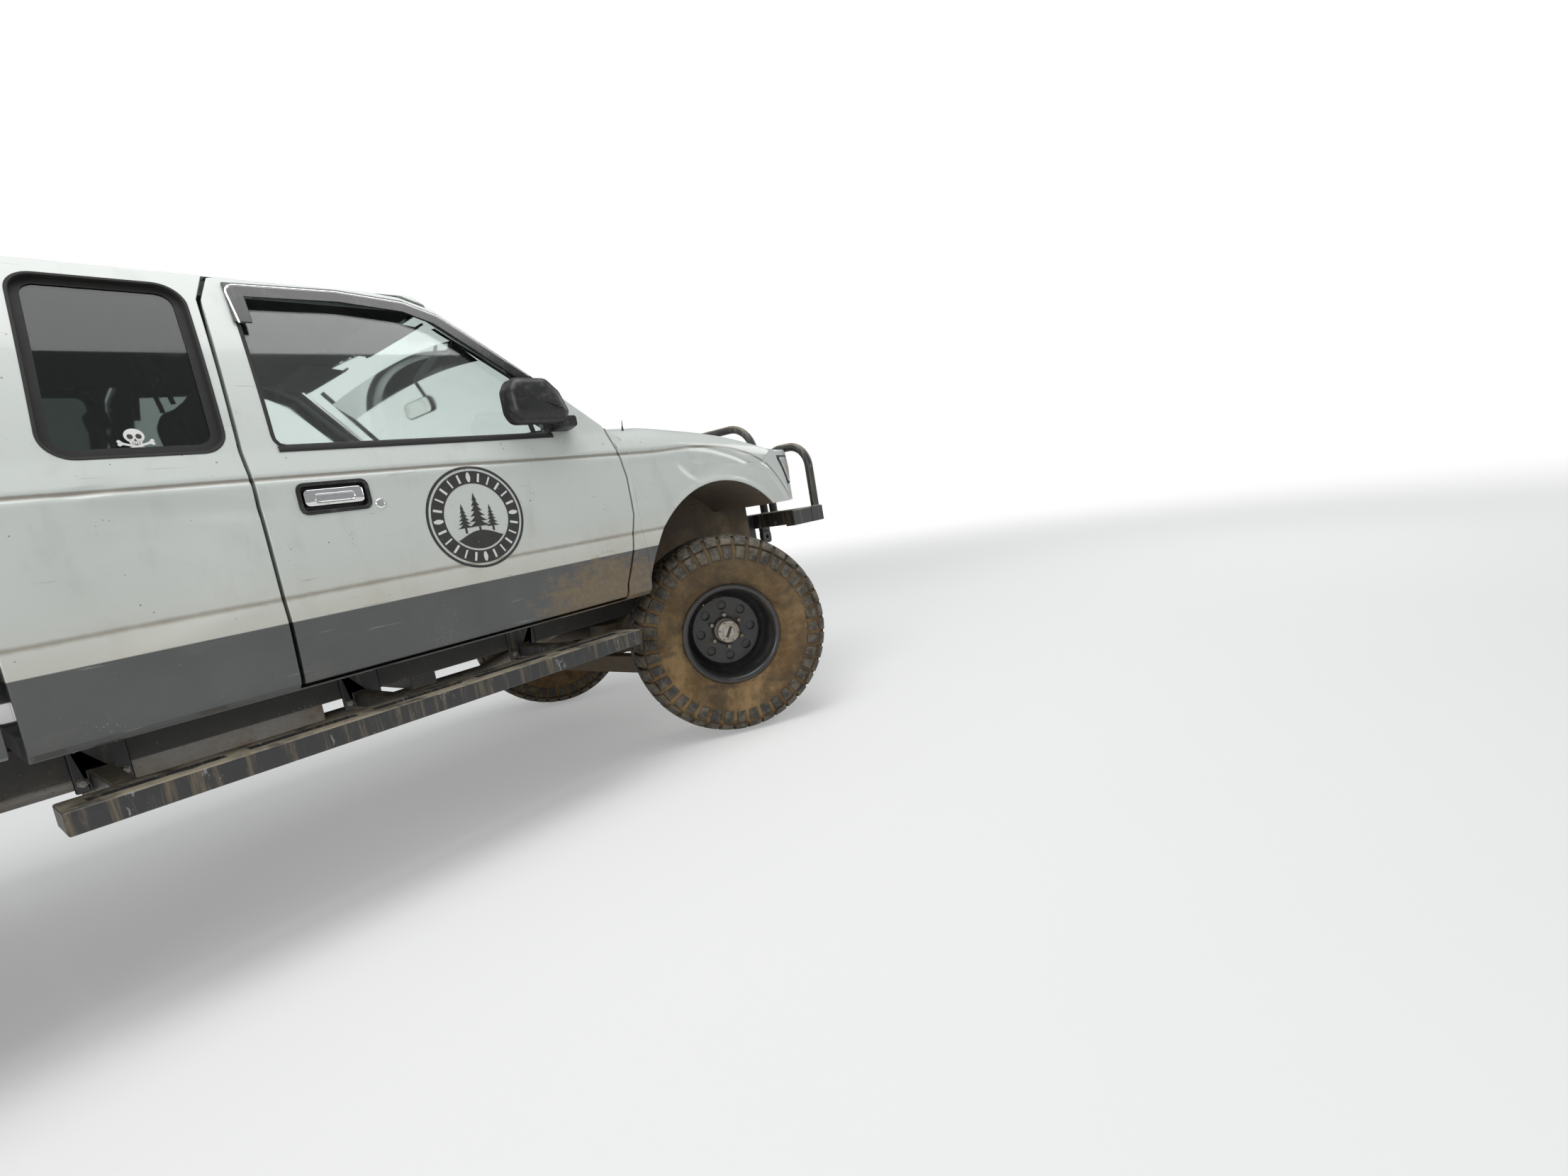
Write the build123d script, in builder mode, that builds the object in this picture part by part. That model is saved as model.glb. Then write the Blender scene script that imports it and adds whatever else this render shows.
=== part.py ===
"""Lifted extended-cab off-road pickup truck, built as an assembly of separate pieces.

Millimetres. +X is forward, +Y is the truck's left, +Z is up. The origin is on the ground under the
middle of the truck. Body stations are given as s, forward of the front axle line, and h, above the
axle height, because that is how the body is drawn.
"""

import os
from math import cos, hypot, radians, sin

from build123d import *

os.makedirs("parts", exist_ok=True)

# Chassis and wheel sizes
WHEELBASE = 3096.0
FRONT_REACH = 840.0
REAR_REACH = 1200.0
TYRE_OD = 838.0
TYRE_WIDTH = 318.0
TREAD_WIDTH = 270.0
RIM_SEAT_D = 381.0
RIM_WIDTH = 203.0
RIM_LIP = 18.0
LUG_PCD = 139.7
LUG_COUNT = 6
KINGPIN_Y = 680.0
KINGPIN_TO_LUG = 95.0
REAR_LUG_Y = 775.0
LUG_TO_TYRE = 19.0
STEER_REST = 34.7

# Frame rails
RAIL_Y = 345.0
RAIL_W = 70.0
RAIL_H = 110.0
RAIL_BOTTOM = 130.0

# Body sizes, h above the axle height
BODY_BOTTOM = 250.0
DOOR_BOTTOM = 264.0
TWO_TONE_H = 429.0
LOWER_CREASE_H = 493.0
UPPER_CREASE_H = 795.0
SILL_H = 875.0
GLASS_TOP_H = 1366.0
ROOF_H = 1405.0
CAB_REAR = -2200.0
FIREWALL = -480.0
COWL_H = 895.0
HOOD_H = COWL_H + 20
NOSE = 700.0
WALL = 50.0
SHEET = 25.0
GLASS = 6.0
PANEL_GAP = 9.0
ARCH_R = 492.0
ARCH_S = -16.0
ARCH_H = 150.0

# Load bed
BED_GAP = 25.0
BED_FRONT = CAB_REAR - BED_GAP
TAIL = -(WHEELBASE + REAR_REACH)
BED_REAR = TAIL + 106
RAIL_END = BED_REAR + 20
BED_RAIL_H = 850.0
BED_FLOOR_H = 400.0
BED_FLOOR_T = 40.0
BED_WALL_IN = 745.0
BED_FRONT_T = 45.0
TAILGATE_T = 45.0
HUMP_IN = 515.0
HUMP_R = ARCH_R + 20.0

# Working values
AXLE_Z = TYRE_OD / 2
FRONT_X = (WHEELBASE + REAR_REACH - FRONT_REACH) / 2
REAR_S = -WHEELBASE
FAR = 4000.0
MIRROR_SIDES = Plane.XZ


def at(s, h):
    """Station s forward of the front axle and h above the axle, as model X and Z."""
    return (FRONT_X + s, AXLE_Z + h)


def box_between(s0, s1, y0, y1, h0, h1, mode=Mode.ADD):
    """Box from its limits in body stations."""
    x0, z0 = at(min(s0, s1), min(h0, h1))
    x1, z1 = at(max(s0, s1), max(h0, h1))
    with Locations(((x0 + x1) / 2, (y0 + y1) / 2, (z0 + z1) / 2)):
        Box(x1 - x0, abs(y1 - y0), z1 - z0, mode=mode)


def side_prism(rows, y0=-FAR, y1=FAR, mode=Mode.INTERSECT, grow=0.0, corner=0.0):
    """Side-view outline of rows (s, h), carried across the truck from y0 to y1."""
    with BuildSketch(Plane.XZ.offset(-y1)) as outline:
        with BuildLine():
            Polyline(*[at(s, h) for s, h in rows], close=True)
        make_face()
        if corner:
            fillet(outline.vertices(), corner)
        if grow:
            offset(amount=grow, kind=Kind.INTERSECTION)
    extrude(outline.sketch, amount=y1 - y0, mode=mode)


def end_prism(rows, s0, s1, mode=Mode.ADD):
    """End-view outline of rows (y, h), carried along the truck from s0 to s1."""
    with BuildSketch(Plane.YZ.offset(FRONT_X + s0)) as outline:
        with BuildLine():
            Polyline(*[(y, AXLE_Z + h) for y, h in rows], close=True)
        make_face()
    extrude(outline.sketch, amount=s1 - s0, mode=mode)


def cylinder_across(s, h, radius, y0, y1, mode=Mode.ADD):
    """Cylinder along Y from y0 to y1."""
    x, z = at(s, h)
    with BuildSketch(Plane.XZ.offset(-y1)) as disc:
        with Locations((x, z)):
            Circle(radius)
    extrude(disc.sketch, amount=y1 - y0, mode=mode)


def drawn_in(rows, inset):
    """Open outline moved inset to the left of its direction, with mitred corners."""
    moved = []
    for index, (a, b) in enumerate(rows):
        normals = []
        for first, last in ((index - 1, index), (index, index + 1)):
            if first < 0 or last >= len(rows):
                continue
            da = rows[last][0] - rows[first][0]
            db = rows[last][1] - rows[first][1]
            length = hypot(da, db)
            normals.append((-db / length, da / length))
        (na, nb), (ma, mb) = normals[0], normals[-1]
        share = inset / (1 + na * ma + nb * mb)
        moved.append((a + (na + ma) * share, b + (nb + mb) * share))
    return moved


def save(piece, label):
    """Label a finished piece and write it."""
    piece.part.label = label
    export_step(piece.part, f"parts/{label}.step")


def save_pair(piece, label):
    """Write the right-hand piece and its mirror image on the left."""
    with BuildPart() as twin:
        mirror(piece.part, about=MIRROR_SIDES)
    save(piece, label + "_r")
    save(twin, label + "_l")


def save_both(piece, label):
    """Write the right-hand piece and its mirror image as one node."""
    with BuildPart() as both:
        add(piece.part)
        mirror(piece.part, about=MIRROR_SIDES)
    save(both, label)


# Body surface
# The cab's end view on its left side: y and h from the sill bottom up to the window sill
BODY_SECTION = [
    (800, BODY_BOTTOM),
    (832, DOOR_BOTTOM),
    (850, TWO_TONE_H),
    (843, LOWER_CREASE_H),
    (841, 640),
    (835, UPPER_CREASE_H),
    (805, SILL_H),
]
GLASS_MID = (722, 1125)
ROOF_EDGE = (617, GLASS_TOP_H)

# The windscreen is a cylinder: its middle line passes through WS_POINT at WS_SLOPE
WS_POINT = (-476, 999)
WS_SLOPE = 38.1
WS_SAG = 95.0
WS_SAG_AT = 700.0

# Side view of the cab with the windscreen left square
CAB_SIDE = [
    (FIREWALL, BODY_BOTTOM),
    (FIREWALL, COWL_H - 45),
    (-335, COWL_H - 45),
    (-335, ROOF_H + 10),
    (-1750, ROOF_H + 10),
    (-2020, ROOF_H - 8),
    (-2125, ROOF_H - 45),
    (-2160, ROOF_H - 110),
    (CAB_REAR, SILL_H + 20),
    (CAB_REAR, BODY_BOTTOM),
]

DOOR_OUTLINE = [
    (-1681, DOOR_BOTTOM),
    (-1683, 870),
    (-1645, 1290),
    (-1612, 1362),
    (-1560, 1371),
    (-1250, 1373),
    (-1105, 1358),
    (-1005, 1318),
    (-610, 962),
    (-545, SILL_H + 25),
    (-509, 700),
    (-511, 560),
    (-550, 430),
    (-596, 310),
    (-603, DOOR_BOTTOM),
]
DOOR_WINDOW = [
    (-1608, 878),
    (-1574, 1340),
    (-1300, 1350),
    (-1112, 1334),
    (-1020, 1296),
    (-765, 1075),
    (-765, 878),
]
QUARTER_WINDOW = [
    (-2052, 874),
    (-2004, 1330),
    (-1676, 1330),
    (-1712, 874),
]

# Inside faces of the door, y and h
DOOR_INSIDE = [
    (775, 0),
    (775, 830),
    (745, 880),
    (565, GLASS_TOP_H),
    (560, ROOF_H + 60),
]
SIDE_MEETS_ROOF = 545.0
SIDE_MEETS_FLOOR = 700.0


def section_prism(inset, s0, s1, mode=Mode.ADD):
    """The cab's end view, drawn in by inset, carried from s0 to s1."""
    rows = [(y, AXLE_Z + h) for y, h in BODY_SECTION]
    sill = rows[-1]
    glass_mid = (GLASS_MID[0], AXLE_Z + GLASS_MID[1])
    roof_edge = (ROOF_EDGE[0], AXLE_Z + ROOF_EDGE[1])
    shoulder = (ROOF_EDGE[0] - 75, AXLE_Z + ROOF_EDGE[1] + 24)
    with BuildSketch(Plane.YZ.offset(FRONT_X + s0)) as outline:
        with BuildLine():
            Polyline((0, rows[0][1]), *rows)
            ThreePointArc(sill, glass_mid, roof_edge)
            Line(roof_edge, shoulder)
            TangentArc(shoulder, (0, AXLE_Z + ROOF_H), tangent=(-1, 0.12))
            mirror(about=Plane.YZ)
        make_face()
        if inset:
            offset(amount=-inset, kind=Kind.INTERSECTION)
    extrude(outline.sketch, amount=s1 - s0, mode=mode)


def windscreen_plane():
    """Plane square to the windscreen's slope, its local y pointing into the cab."""
    x, z = at(*WS_POINT)
    slope = radians(WS_SLOPE)
    return Plane(origin=(x, 0, z), x_dir=(0, 1, 0), z_dir=(-cos(slope), 0, sin(slope)))


def under_windscreen(inset, mode=Mode.INTERSECT):
    """Everything behind the windscreen's surface, drawn in by inset."""
    sag = WS_SAG * (1000 / WS_SAG_AT) ** 2
    with BuildSketch(windscreen_plane()) as outline:
        with BuildLine():
            ThreePointArc((-1000, sag + inset), (0, inset), (1000, sag + inset))
            Polyline((1000, sag + inset), (1000, FAR), (-1000, FAR), (-1000, sag + inset))
        make_face()
    extrude(outline.sketch, amount=FAR, both=True, mode=mode)


def cab_block(inset):
    """The cab as a solid block, drawn in by inset all round."""
    with BuildPart() as block:
        section_prism(inset, CAB_REAR - 10, 0)
        side_prism(CAB_SIDE, grow=-inset)
        under_windscreen(inset)
    return block.part


cab_outer = cab_block(0)
cab_inner = cab_block(WALL)

with BuildPart() as cab_core:
    section_prism(WALL, CAB_REAR - 10, 0)

with BuildPart() as cab_shell:
    add(cab_outer)
    add(cab_inner, mode=Mode.SUBTRACT)

with BuildPart() as cab_tube:
    add(cab_shell.part)
    add(cab_core.part, mode=Mode.SUBTRACT)

def door_zone(gap):
    """Zone that the right-hand door takes, grown by its gap."""
    inside = [(-(y - gap), h) for y, h in DOOR_INSIDE]
    outside = [(-1000, DOOR_INSIDE[-1][1]), (-1000, DOOR_INSIDE[0][1])]
    with BuildPart() as zone:
        end_prism(inside + outside, -1900, -300)
        side_prism(DOOR_OUTLINE, y0=-1100, y1=0, grow=gap)
    return zone.part


# Cab floor with the transmission tunnel, and the firewall
TUNNEL_W = 330.0
TUNNEL_TOP = 400.0
FIREWALL_Y = 745.0

with BuildPart() as cab_floor:
    add(cab_tube.part)
    box_between(CAB_REAR, 0, -SIDE_MEETS_FLOOR, SIDE_MEETS_FLOOR, 0, 350, mode=Mode.INTERSECT)
    box_between(CAB_REAR + 700, FIREWALL, -TUNNEL_W / 2, TUNNEL_W / 2, 0, 350, mode=Mode.SUBTRACT)
    box_between(CAB_REAR + 700, FIREWALL - WALL, -TUNNEL_W / 2 - 30, TUNNEL_W / 2 + 30,
                BODY_BOTTOM, TUNNEL_TOP)
    box_between(CAB_REAR + 730, FIREWALL, -TUNNEL_W / 2, TUNNEL_W / 2,
                0, TUNNEL_TOP - 30, mode=Mode.SUBTRACT)
save(cab_floor, "cab_floor")

# Each door turns on a pin in its front edge. A strap from the pillar behind the firewall holds the pin
HINGE_S = -580.0
HINGE_Y = 838.0
PILLAR_S = (-590.0, FIREWALL - WALL)
PILLAR_Y = (690.0, 735.0)
PILLAR_TOP = COWL_H - 45
STRAP_H = (408.0, 440.0)
STRAP_HALF = 6.0
HINGE_PIN_R = 4.0
HINGE_PIN_H = (390.0, 458.0)
PIN_PLAY = 0.05


# The hood's hinges: an arm of the cowl holds a pin, and an ear of the hood turns on it
HOOD_PIVOT = (-430.0, HOOD_H - 35)
HINGE_R = 10.0
HINGE_ROOM = 16.0
HOOD_PIN_R = 5.0
HOOD_EAR_Y = (600.0, 616.0)
HOOD_ARM_Y = (622.0, 640.0)


def upright(s, y, radius, h0, h1, mode=Mode.ADD):
    """Upright cylinder at a station, from h0 to h1."""
    x, z = at(s, (h0 + h1) / 2)
    with Locations((x, y, z)):
        Cylinder(radius, h1 - h0, mode=mode)


with BuildPart() as firewall:
    add(cab_shell.part)
    add(cab_core.part, mode=Mode.INTERSECT)
    box_between(FIREWALL - WALL - 1, 0, -FIREWALL_Y, FIREWALL_Y, 0, COWL_H + 40, mode=Mode.INTERSECT)
    box_between(-1000, 0, -TUNNEL_W / 2, TUNNEL_W / 2, 0, TUNNEL_TOP - 30, mode=Mode.SUBTRACT)
    for side in (-1, 1):
        y0, y1 = sorted((side * (HOOD_EAR_Y[0] - 6), side * (HOOD_EAR_Y[1] + 6)))
        cylinder_across(*HOOD_PIVOT, HINGE_ROOM, y0, y1, mode=Mode.SUBTRACT)
        y0, y1 = sorted((side * PILLAR_Y[0], side * PILLAR_Y[1]))
        box_between(*PILLAR_S, y0, y1, BODY_BOTTOM + WALL, PILLAR_TOP)
        y0, y1 = sorted((side * PILLAR_Y[1], side * HINGE_Y))
        box_between(HINGE_S - STRAP_HALF, HINGE_S + STRAP_HALF, y0, y1, *STRAP_H)
        upright(HINGE_S, side * HINGE_Y, STRAP_HALF, *STRAP_H)
        upright(HINGE_S, side * HINGE_Y, HINGE_PIN_R, *HINGE_PIN_H)
        y0, y1 = sorted((side * HOOD_ARM_Y[0], side * HOOD_ARM_Y[1]))
        box_between(FIREWALL, HOOD_PIVOT[0], y0, y1, HOOD_PIVOT[1] - HINGE_R, HOOD_PIVOT[1] + HINGE_R)
        cylinder_across(*HOOD_PIVOT, HINGE_R, y0, y1)
        y0, y1 = sorted((side * HOOD_EAR_Y[0], side * HOOD_ARM_Y[1]))
        cylinder_across(*HOOD_PIVOT, HOOD_PIN_R, y0, y1)
save(firewall, "firewall")

# Rear wall with its window
REAR_WINDOW_Y = 520.0
REAR_WINDOW_H = (925.0, 1255.0)

with BuildPart() as cab_back:
    add(cab_shell.part)
    add(cab_core.part, mode=Mode.INTERSECT)
    box_between(CAB_REAR - 20, CAB_REAR + 150, -FAR, FAR, 0, 2000, mode=Mode.INTERSECT)
    with BuildSketch(Plane.YZ.offset(FRONT_X + CAB_REAR - 20)):
        with Locations((0, AXLE_Z + sum(REAR_WINDOW_H) / 2)):
            RectangleRounded(2 * REAR_WINDOW_Y, REAR_WINDOW_H[1] - REAR_WINDOW_H[0], 60)
    extrude(amount=200, mode=Mode.SUBTRACT)
save(cab_back, "cab_back")

# Roof panel
with BuildPart() as cab_roof:
    add(cab_tube.part)
    box_between(CAB_REAR - 20, 0, -SIDE_MEETS_ROOF, SIDE_MEETS_ROOF, 1150, 1600, mode=Mode.INTERSECT)
save(cab_roof, "cab_roof")

# Cab sides: sill, quarter panel, pillars and the rail over the door
door_cut = door_zone(PANEL_GAP)
with BuildPart() as door_cut_left:
    mirror(door_cut, about=MIRROR_SIDES)
with BuildPart() as cab_side:
    add(cab_tube.part)
    end_prism(
        [
            (-SIDE_MEETS_FLOOR, 0),
            (-SIDE_MEETS_FLOOR, 350),
            (-SIDE_MEETS_ROOF, 350),
            (-SIDE_MEETS_ROOF, 1600),
            (-1000, 1600),
            (-1000, 0),
        ],
        CAB_REAR - 20,
        0,
        mode=Mode.INTERSECT,
    )
    add(door_cut, mode=Mode.SUBTRACT)
    side_prism(QUARTER_WINDOW, y0=-1000, y1=-500, mode=Mode.SUBTRACT, corner=55)
save_pair(cab_side, "cab_side")

# Doors
HANDLE_S = (-1593.0, -1425.0)
HANDLE_H = (700.0, 772.0)

# Reach of the door's rear edge from its hinge line: radius and h. It keeps the inner corner off the pillar
DOOR_REACH = [
    (1102, 0),
    (1104, 870),
    (1081, 1290),
    (1054, 1362),
    (1020, 1420),
]
hinge_x, hinge_z = at(HINGE_S, 0)
with BuildPart() as door_reach:
    hinge_plane = Plane(origin=(hinge_x, -HINGE_Y, hinge_z), x_dir=(1, 0, 0), z_dir=(0, -1, 0))
    with BuildSketch(hinge_plane) as outline:
        with BuildLine():
            Polyline((0, 0), *DOOR_REACH, (0, DOOR_REACH[-1][1]), close=True)
        make_face()
    revolve(outline.sketch, axis=Axis((hinge_x, -HINGE_Y, hinge_z), (0, 0, 1)))

# Room for the strap in the door's edge: rows of forward and inward from the pin
STRAP_ROOM = 5.0
STRAP_POCKET = [
    (-9, 0),
    (-9, 110),
    (110, 110),
    (110, 42.6),
    (3.4, -7.2),
]
door_area = door_zone(0)
with BuildPart() as door:
    add(cab_outer)
    add(door_area, mode=Mode.INTERSECT)
    add(door_reach.part, mode=Mode.INTERSECT)
    side_prism(DOOR_WINDOW, y0=-1000, y1=-400, mode=Mode.SUBTRACT, corner=28)
    box_between(HANDLE_S[0], HANDLE_S[1], -900, -812, HANDLE_H[0], HANDLE_H[1], mode=Mode.SUBTRACT)
    with BuildSketch(Plane.XY.offset(AXLE_Z + STRAP_H[0] - STRAP_ROOM)) as pocket:
        with BuildLine():
            Polyline(*[(hinge_x + along, inward - HINGE_Y) for along, inward in STRAP_POCKET], close=True)
        make_face()
        with Locations((hinge_x, -HINGE_Y)):
            Circle(STRAP_HALF + 2)
    extrude(pocket.sketch, amount=STRAP_H[1] - STRAP_H[0] + 2 * STRAP_ROOM, mode=Mode.SUBTRACT)
    upright(HINGE_S, -HINGE_Y, HINGE_PIN_R + PIN_PLAY,
            HINGE_PIN_H[0] - 2, HINGE_PIN_H[1] + 2, mode=Mode.SUBTRACT)
save_pair(door, "door")

with BuildPart() as handle:
    box_between(HANDLE_S[0] + 8, HANDLE_S[1] - 8, -834, -812, HANDLE_H[0] + 14, HANDLE_H[1] - 12)
    fillet(handle.edges().filter_by(Axis.Y), 12)
save_pair(handle, "handle")


# Side glass lies GLASS_INSET behind the outer surface
GLASS_INSET = 18.0


def glass_sheet():
    """Both sides' curved glass, uncut."""
    with BuildPart() as sheet:
        section_prism(GLASS_INSET, CAB_REAR, 0)
        section_prism(GLASS_INSET + GLASS, CAB_REAR, 0, mode=Mode.SUBTRACT)
    return sheet.part


side_glass = glass_sheet()
with BuildPart() as door_glass:
    add(side_glass)
    side_prism(DOOR_WINDOW, y0=-1000, y1=-500, corner=28)
save_pair(door_glass, "door_glass")

with BuildPart() as quarter_glass:
    add(side_glass)
    side_prism(QUARTER_WINDOW, y0=-1000, y1=-500, corner=55)

# Windscreen and rear window
with BuildPart() as windscreen:
    add(cab_core.part)
    under_windscreen(GLASS)
    under_windscreen(2 * GLASS, mode=Mode.SUBTRACT)
    box_between(-1500, -300, -FAR, FAR, COWL_H + 40, ROOF_H, mode=Mode.INTERSECT)
    add(cab_roof.part, mode=Mode.SUBTRACT)
    add(door_cut, mode=Mode.SUBTRACT)
    add(door_cut_left.part, mode=Mode.SUBTRACT)
save(windscreen, "windscreen")

with BuildPart() as cab_glass:
    add(quarter_glass.part)
    mirror(quarter_glass.part, about=MIRROR_SIDES)
    with BuildSketch(Plane.YZ.offset(FRONT_X + CAB_REAR + WALL - GLASS)):
        with Locations((0, AXLE_Z + sum(REAR_WINDOW_H) / 2)):
            RectangleRounded(2 * REAR_WINDOW_Y, REAR_WINDOW_H[1] - REAR_WINDOW_H[0], 60)
    extrude(amount=GLASS)
save(cab_glass, "cab_glass")

# Rain guards over the door windows
GUARD_T = 9.0
with BuildPart() as rain_guard:
    section_prism(-GUARD_T, CAB_REAR, 0)
    section_prism(-0.3, CAB_REAR, 0, mode=Mode.SUBTRACT)
    side_prism(DOOR_WINDOW, y0=-1000, y1=-500, grow=10)
    side_prism(DOOR_WINDOW, y0=-1000, y1=-500, grow=-32, mode=Mode.SUBTRACT)
    box_between(-1700, -760, -1000, -500, 1080, 1400, mode=Mode.INTERSECT)
    box_between(-1700, -1500, -1000, -500, 1080, 1230, mode=Mode.SUBTRACT)
save_pair(rain_guard, "rain_guard")

# Front end: hood, fenders, nose panel and headlamps
FRONT_TOP = [
    (-800, HOOD_H + 2),
    (-345, HOOD_H + 1),
    (95, 872),
    (350, 836),
    (520, 792),
    (630, 750),
    (682, 690),
    (NOSE, 600),
]
HOOD_SECTION = [
    (800, HOOD_H - 55),
    (700, HOOD_H - 22),
    (350, HOOD_H - 5),
]
FRONT_PLAN = [
    (-700, 850),
    (150, 850),
    (330, 834),
    (480, 802),
    (590, 745),
    (655, 650),
    (690, 440),
    (NOSE, 200),
]
HOOD_PLAN = [
    (-440, 700),
    (-60, 700),
    (300, 668),
    (560, 600),
]
HOOD_REAR = -322.0
COWL_ROOM_H = HOOD_H - 75
OVER_HOOD = HOOD_H + 85
HOOD_FRONT = 676.0
HOOD_EDGE_H = 736.0
LAMP_SIDE = [
    (425, 728),
    (800, 728),
    (800, 588),
    (520, 588),
]
LAMP_DEPTH = 70.0
LAMP_IN = 460.0
NOSE_BOTTOM = 508.0
FENDER_BOTTOM = BODY_BOTTOM
NOSE_IN = 600.0
LINER_T = 14.0
LINER_IN = 450.0
FENDER_SIDE = [
    (-545 + PANEL_GAP, OVER_HOOD),
    (-545 + PANEL_GAP, SILL_H + 25),
    (-509 + PANEL_GAP, 700),
    (-511 + PANEL_GAP, 560),
    (-550 + PANEL_GAP, 430),
    (-596 + PANEL_GAP, 310),
    (-603 + PANEL_GAP, FENDER_BOTTOM),
    (0, FENDER_BOTTOM),
    (0, NOSE_BOTTOM),
    (800, NOSE_BOTTOM),
    (800, OVER_HOOD),
]


def front_block(inset):
    """The front end as a block, open below and behind when it is drawn in."""
    outline_rows = [(800, -350)] + BODY_SECTION[:-1] + HOOD_SECTION
    rows = [(y, AXLE_Z + h) for y, h in drawn_in(outline_rows, inset)]
    crease = len(rows) - len(HOOD_SECTION)
    shoulder = rows[crease - 1 : crease + 2]
    crown = rows[crease + 1 :]
    top = (0, AXLE_Z + HOOD_H - inset)
    plan_rows = [(FRONT_X + s, y) for s, y in drawn_in(FRONT_PLAN, -inset)]
    with BuildPart() as block:
        with BuildSketch(Plane.YZ.offset(FRONT_X - 690)) as outline:
            with BuildLine():
                Polyline((0, rows[0][1]), *rows[:crease])
                ThreePointArc(*shoulder)
                ThreePointArc(crown[0], crown[1], top)
                mirror(about=Plane.YZ)
            make_face()
        extrude(outline.sketch, amount=1500)
        side_prism([(-800, -350), *drawn_in(FRONT_TOP, -inset), (NOSE - inset, -350)])
        with BuildSketch(Plane.XY) as plan:
            with BuildLine():
                Polyline(*plan_rows, (FRONT_X + NOSE - inset, 0))
                mirror(about=Plane.XZ)
                Line(plan_rows[0], (plan_rows[0][0], -plan_rows[0][1]))
            make_face()
        extrude(plan.sketch, amount=FAR, mode=Mode.INTERSECT)
    return block.part


def hood_zone(gap):
    """Plan of the hood, grown by gap."""
    with BuildPart() as zone:
        with BuildSketch(Plane.XY) as plan:
            with BuildLine():
                corner = (FRONT_X + HOOD_PLAN[0][0], HOOD_PLAN[0][1])
                front = (FRONT_X + HOOD_PLAN[-1][0], HOOD_PLAN[-1][1])
                Polyline(*[(FRONT_X + s, y) for s, y in HOOD_PLAN])
                mirror(about=Plane.XZ)
                ThreePointArc(corner, (FRONT_X + HOOD_REAR, 0), (corner[0], -corner[1]))
                ThreePointArc(front, (FRONT_X + HOOD_FRONT, 0), (front[0], -front[1]))
            make_face()
            if gap:
                offset(amount=gap, kind=Kind.INTERSECTION)
        extrude(plan.sketch, amount=FAR)
    return zone.part


front_outer = front_block(0)
front_inner = front_block(SHEET)
hood_area = hood_zone(0)

EAR_LENGTH = 40.0
with BuildPart() as hood:
    add(front_outer)
    add(front_inner, mode=Mode.SUBTRACT)
    add(hood_area, mode=Mode.INTERSECT)
    box_between(-700, 800, -FAR, FAR, HOOD_EDGE_H, OVER_HOOD, mode=Mode.INTERSECT)
    for side in (-1, 1):
        y0, y1 = sorted((side * (HOOD_ARM_Y[0] - 6), side * (HOOD_ARM_Y[1] + 6)))
        cylinder_across(*HOOD_PIVOT, HINGE_ROOM, y0, y1, mode=Mode.SUBTRACT)
        y0, y1 = sorted((side * HOOD_EAR_Y[0], side * HOOD_EAR_Y[1]))
        box_between(HOOD_PIVOT[0], HOOD_PIVOT[0] + EAR_LENGTH, y0, y1,
                    HOOD_PIVOT[1] - HINGE_R, HOOD_PIVOT[1] + HINGE_R)
        cylinder_across(*HOOD_PIVOT, HINGE_R, y0, y1)
        cylinder_across(*HOOD_PIVOT, HOOD_PIN_R + PIN_PLAY, y0, y1, mode=Mode.SUBTRACT)
save(hood, "hood")

hood_hole = hood_zone(PANEL_GAP)
with BuildPart() as fender_skin:
    add(front_outer)
    add(front_inner, mode=Mode.SUBTRACT)
    side_prism(FENDER_SIDE, y0=-900, y1=-LAMP_IN - 40)
    add(hood_hole, mode=Mode.SUBTRACT)
    box_between(-600, HOOD_REAR, -HOOD_PLAN[0][1] - PANEL_GAP, 0, COWL_ROOM_H, OVER_HOOD, mode=Mode.SUBTRACT)
    box_between(450, 800, -NOSE_IN, 0, 0, HOOD_EDGE_H, mode=Mode.SUBTRACT)
    side_prism(LAMP_SIDE, y0=-900, y1=0, grow=0.5, mode=Mode.SUBTRACT)
    cylinder_across(ARCH_S, ARCH_H, ARCH_R, -900, 0, mode=Mode.SUBTRACT)

# Wheel-well liner: half ring over the tyre and the apron beside the engine
UNDER_HOOD = 12.0
under_hood = front_block(SHEET + UNDER_HOOD)
with BuildPart() as liner:
    box_between(FIREWALL + 2, 560, -LINER_IN, -LINER_IN + LINER_T, BODY_BOTTOM, HOOD_H)
    add(under_hood, mode=Mode.INTERSECT)
    cylinder_across(ARCH_S, ARCH_H, ARCH_R + LINER_T, -850, -LINER_IN)
    add(front_outer, mode=Mode.INTERSECT)
    box_between(-700, 700, -900, 0, -600, BODY_BOTTOM, mode=Mode.SUBTRACT)
    box_between(0, 700, -900, -LINER_IN, -600, NOSE_BOTTOM, mode=Mode.SUBTRACT)
    cylinder_across(ARCH_S, ARCH_H, ARCH_R, -900, -LINER_IN, mode=Mode.SUBTRACT)
    add(door_cut, mode=Mode.SUBTRACT)

with BuildPart() as fender:
    add(fender_skin.part)
    add(liner.part)
    add(cab_outer, mode=Mode.SUBTRACT)
save_pair(fender, "fender")

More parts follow.
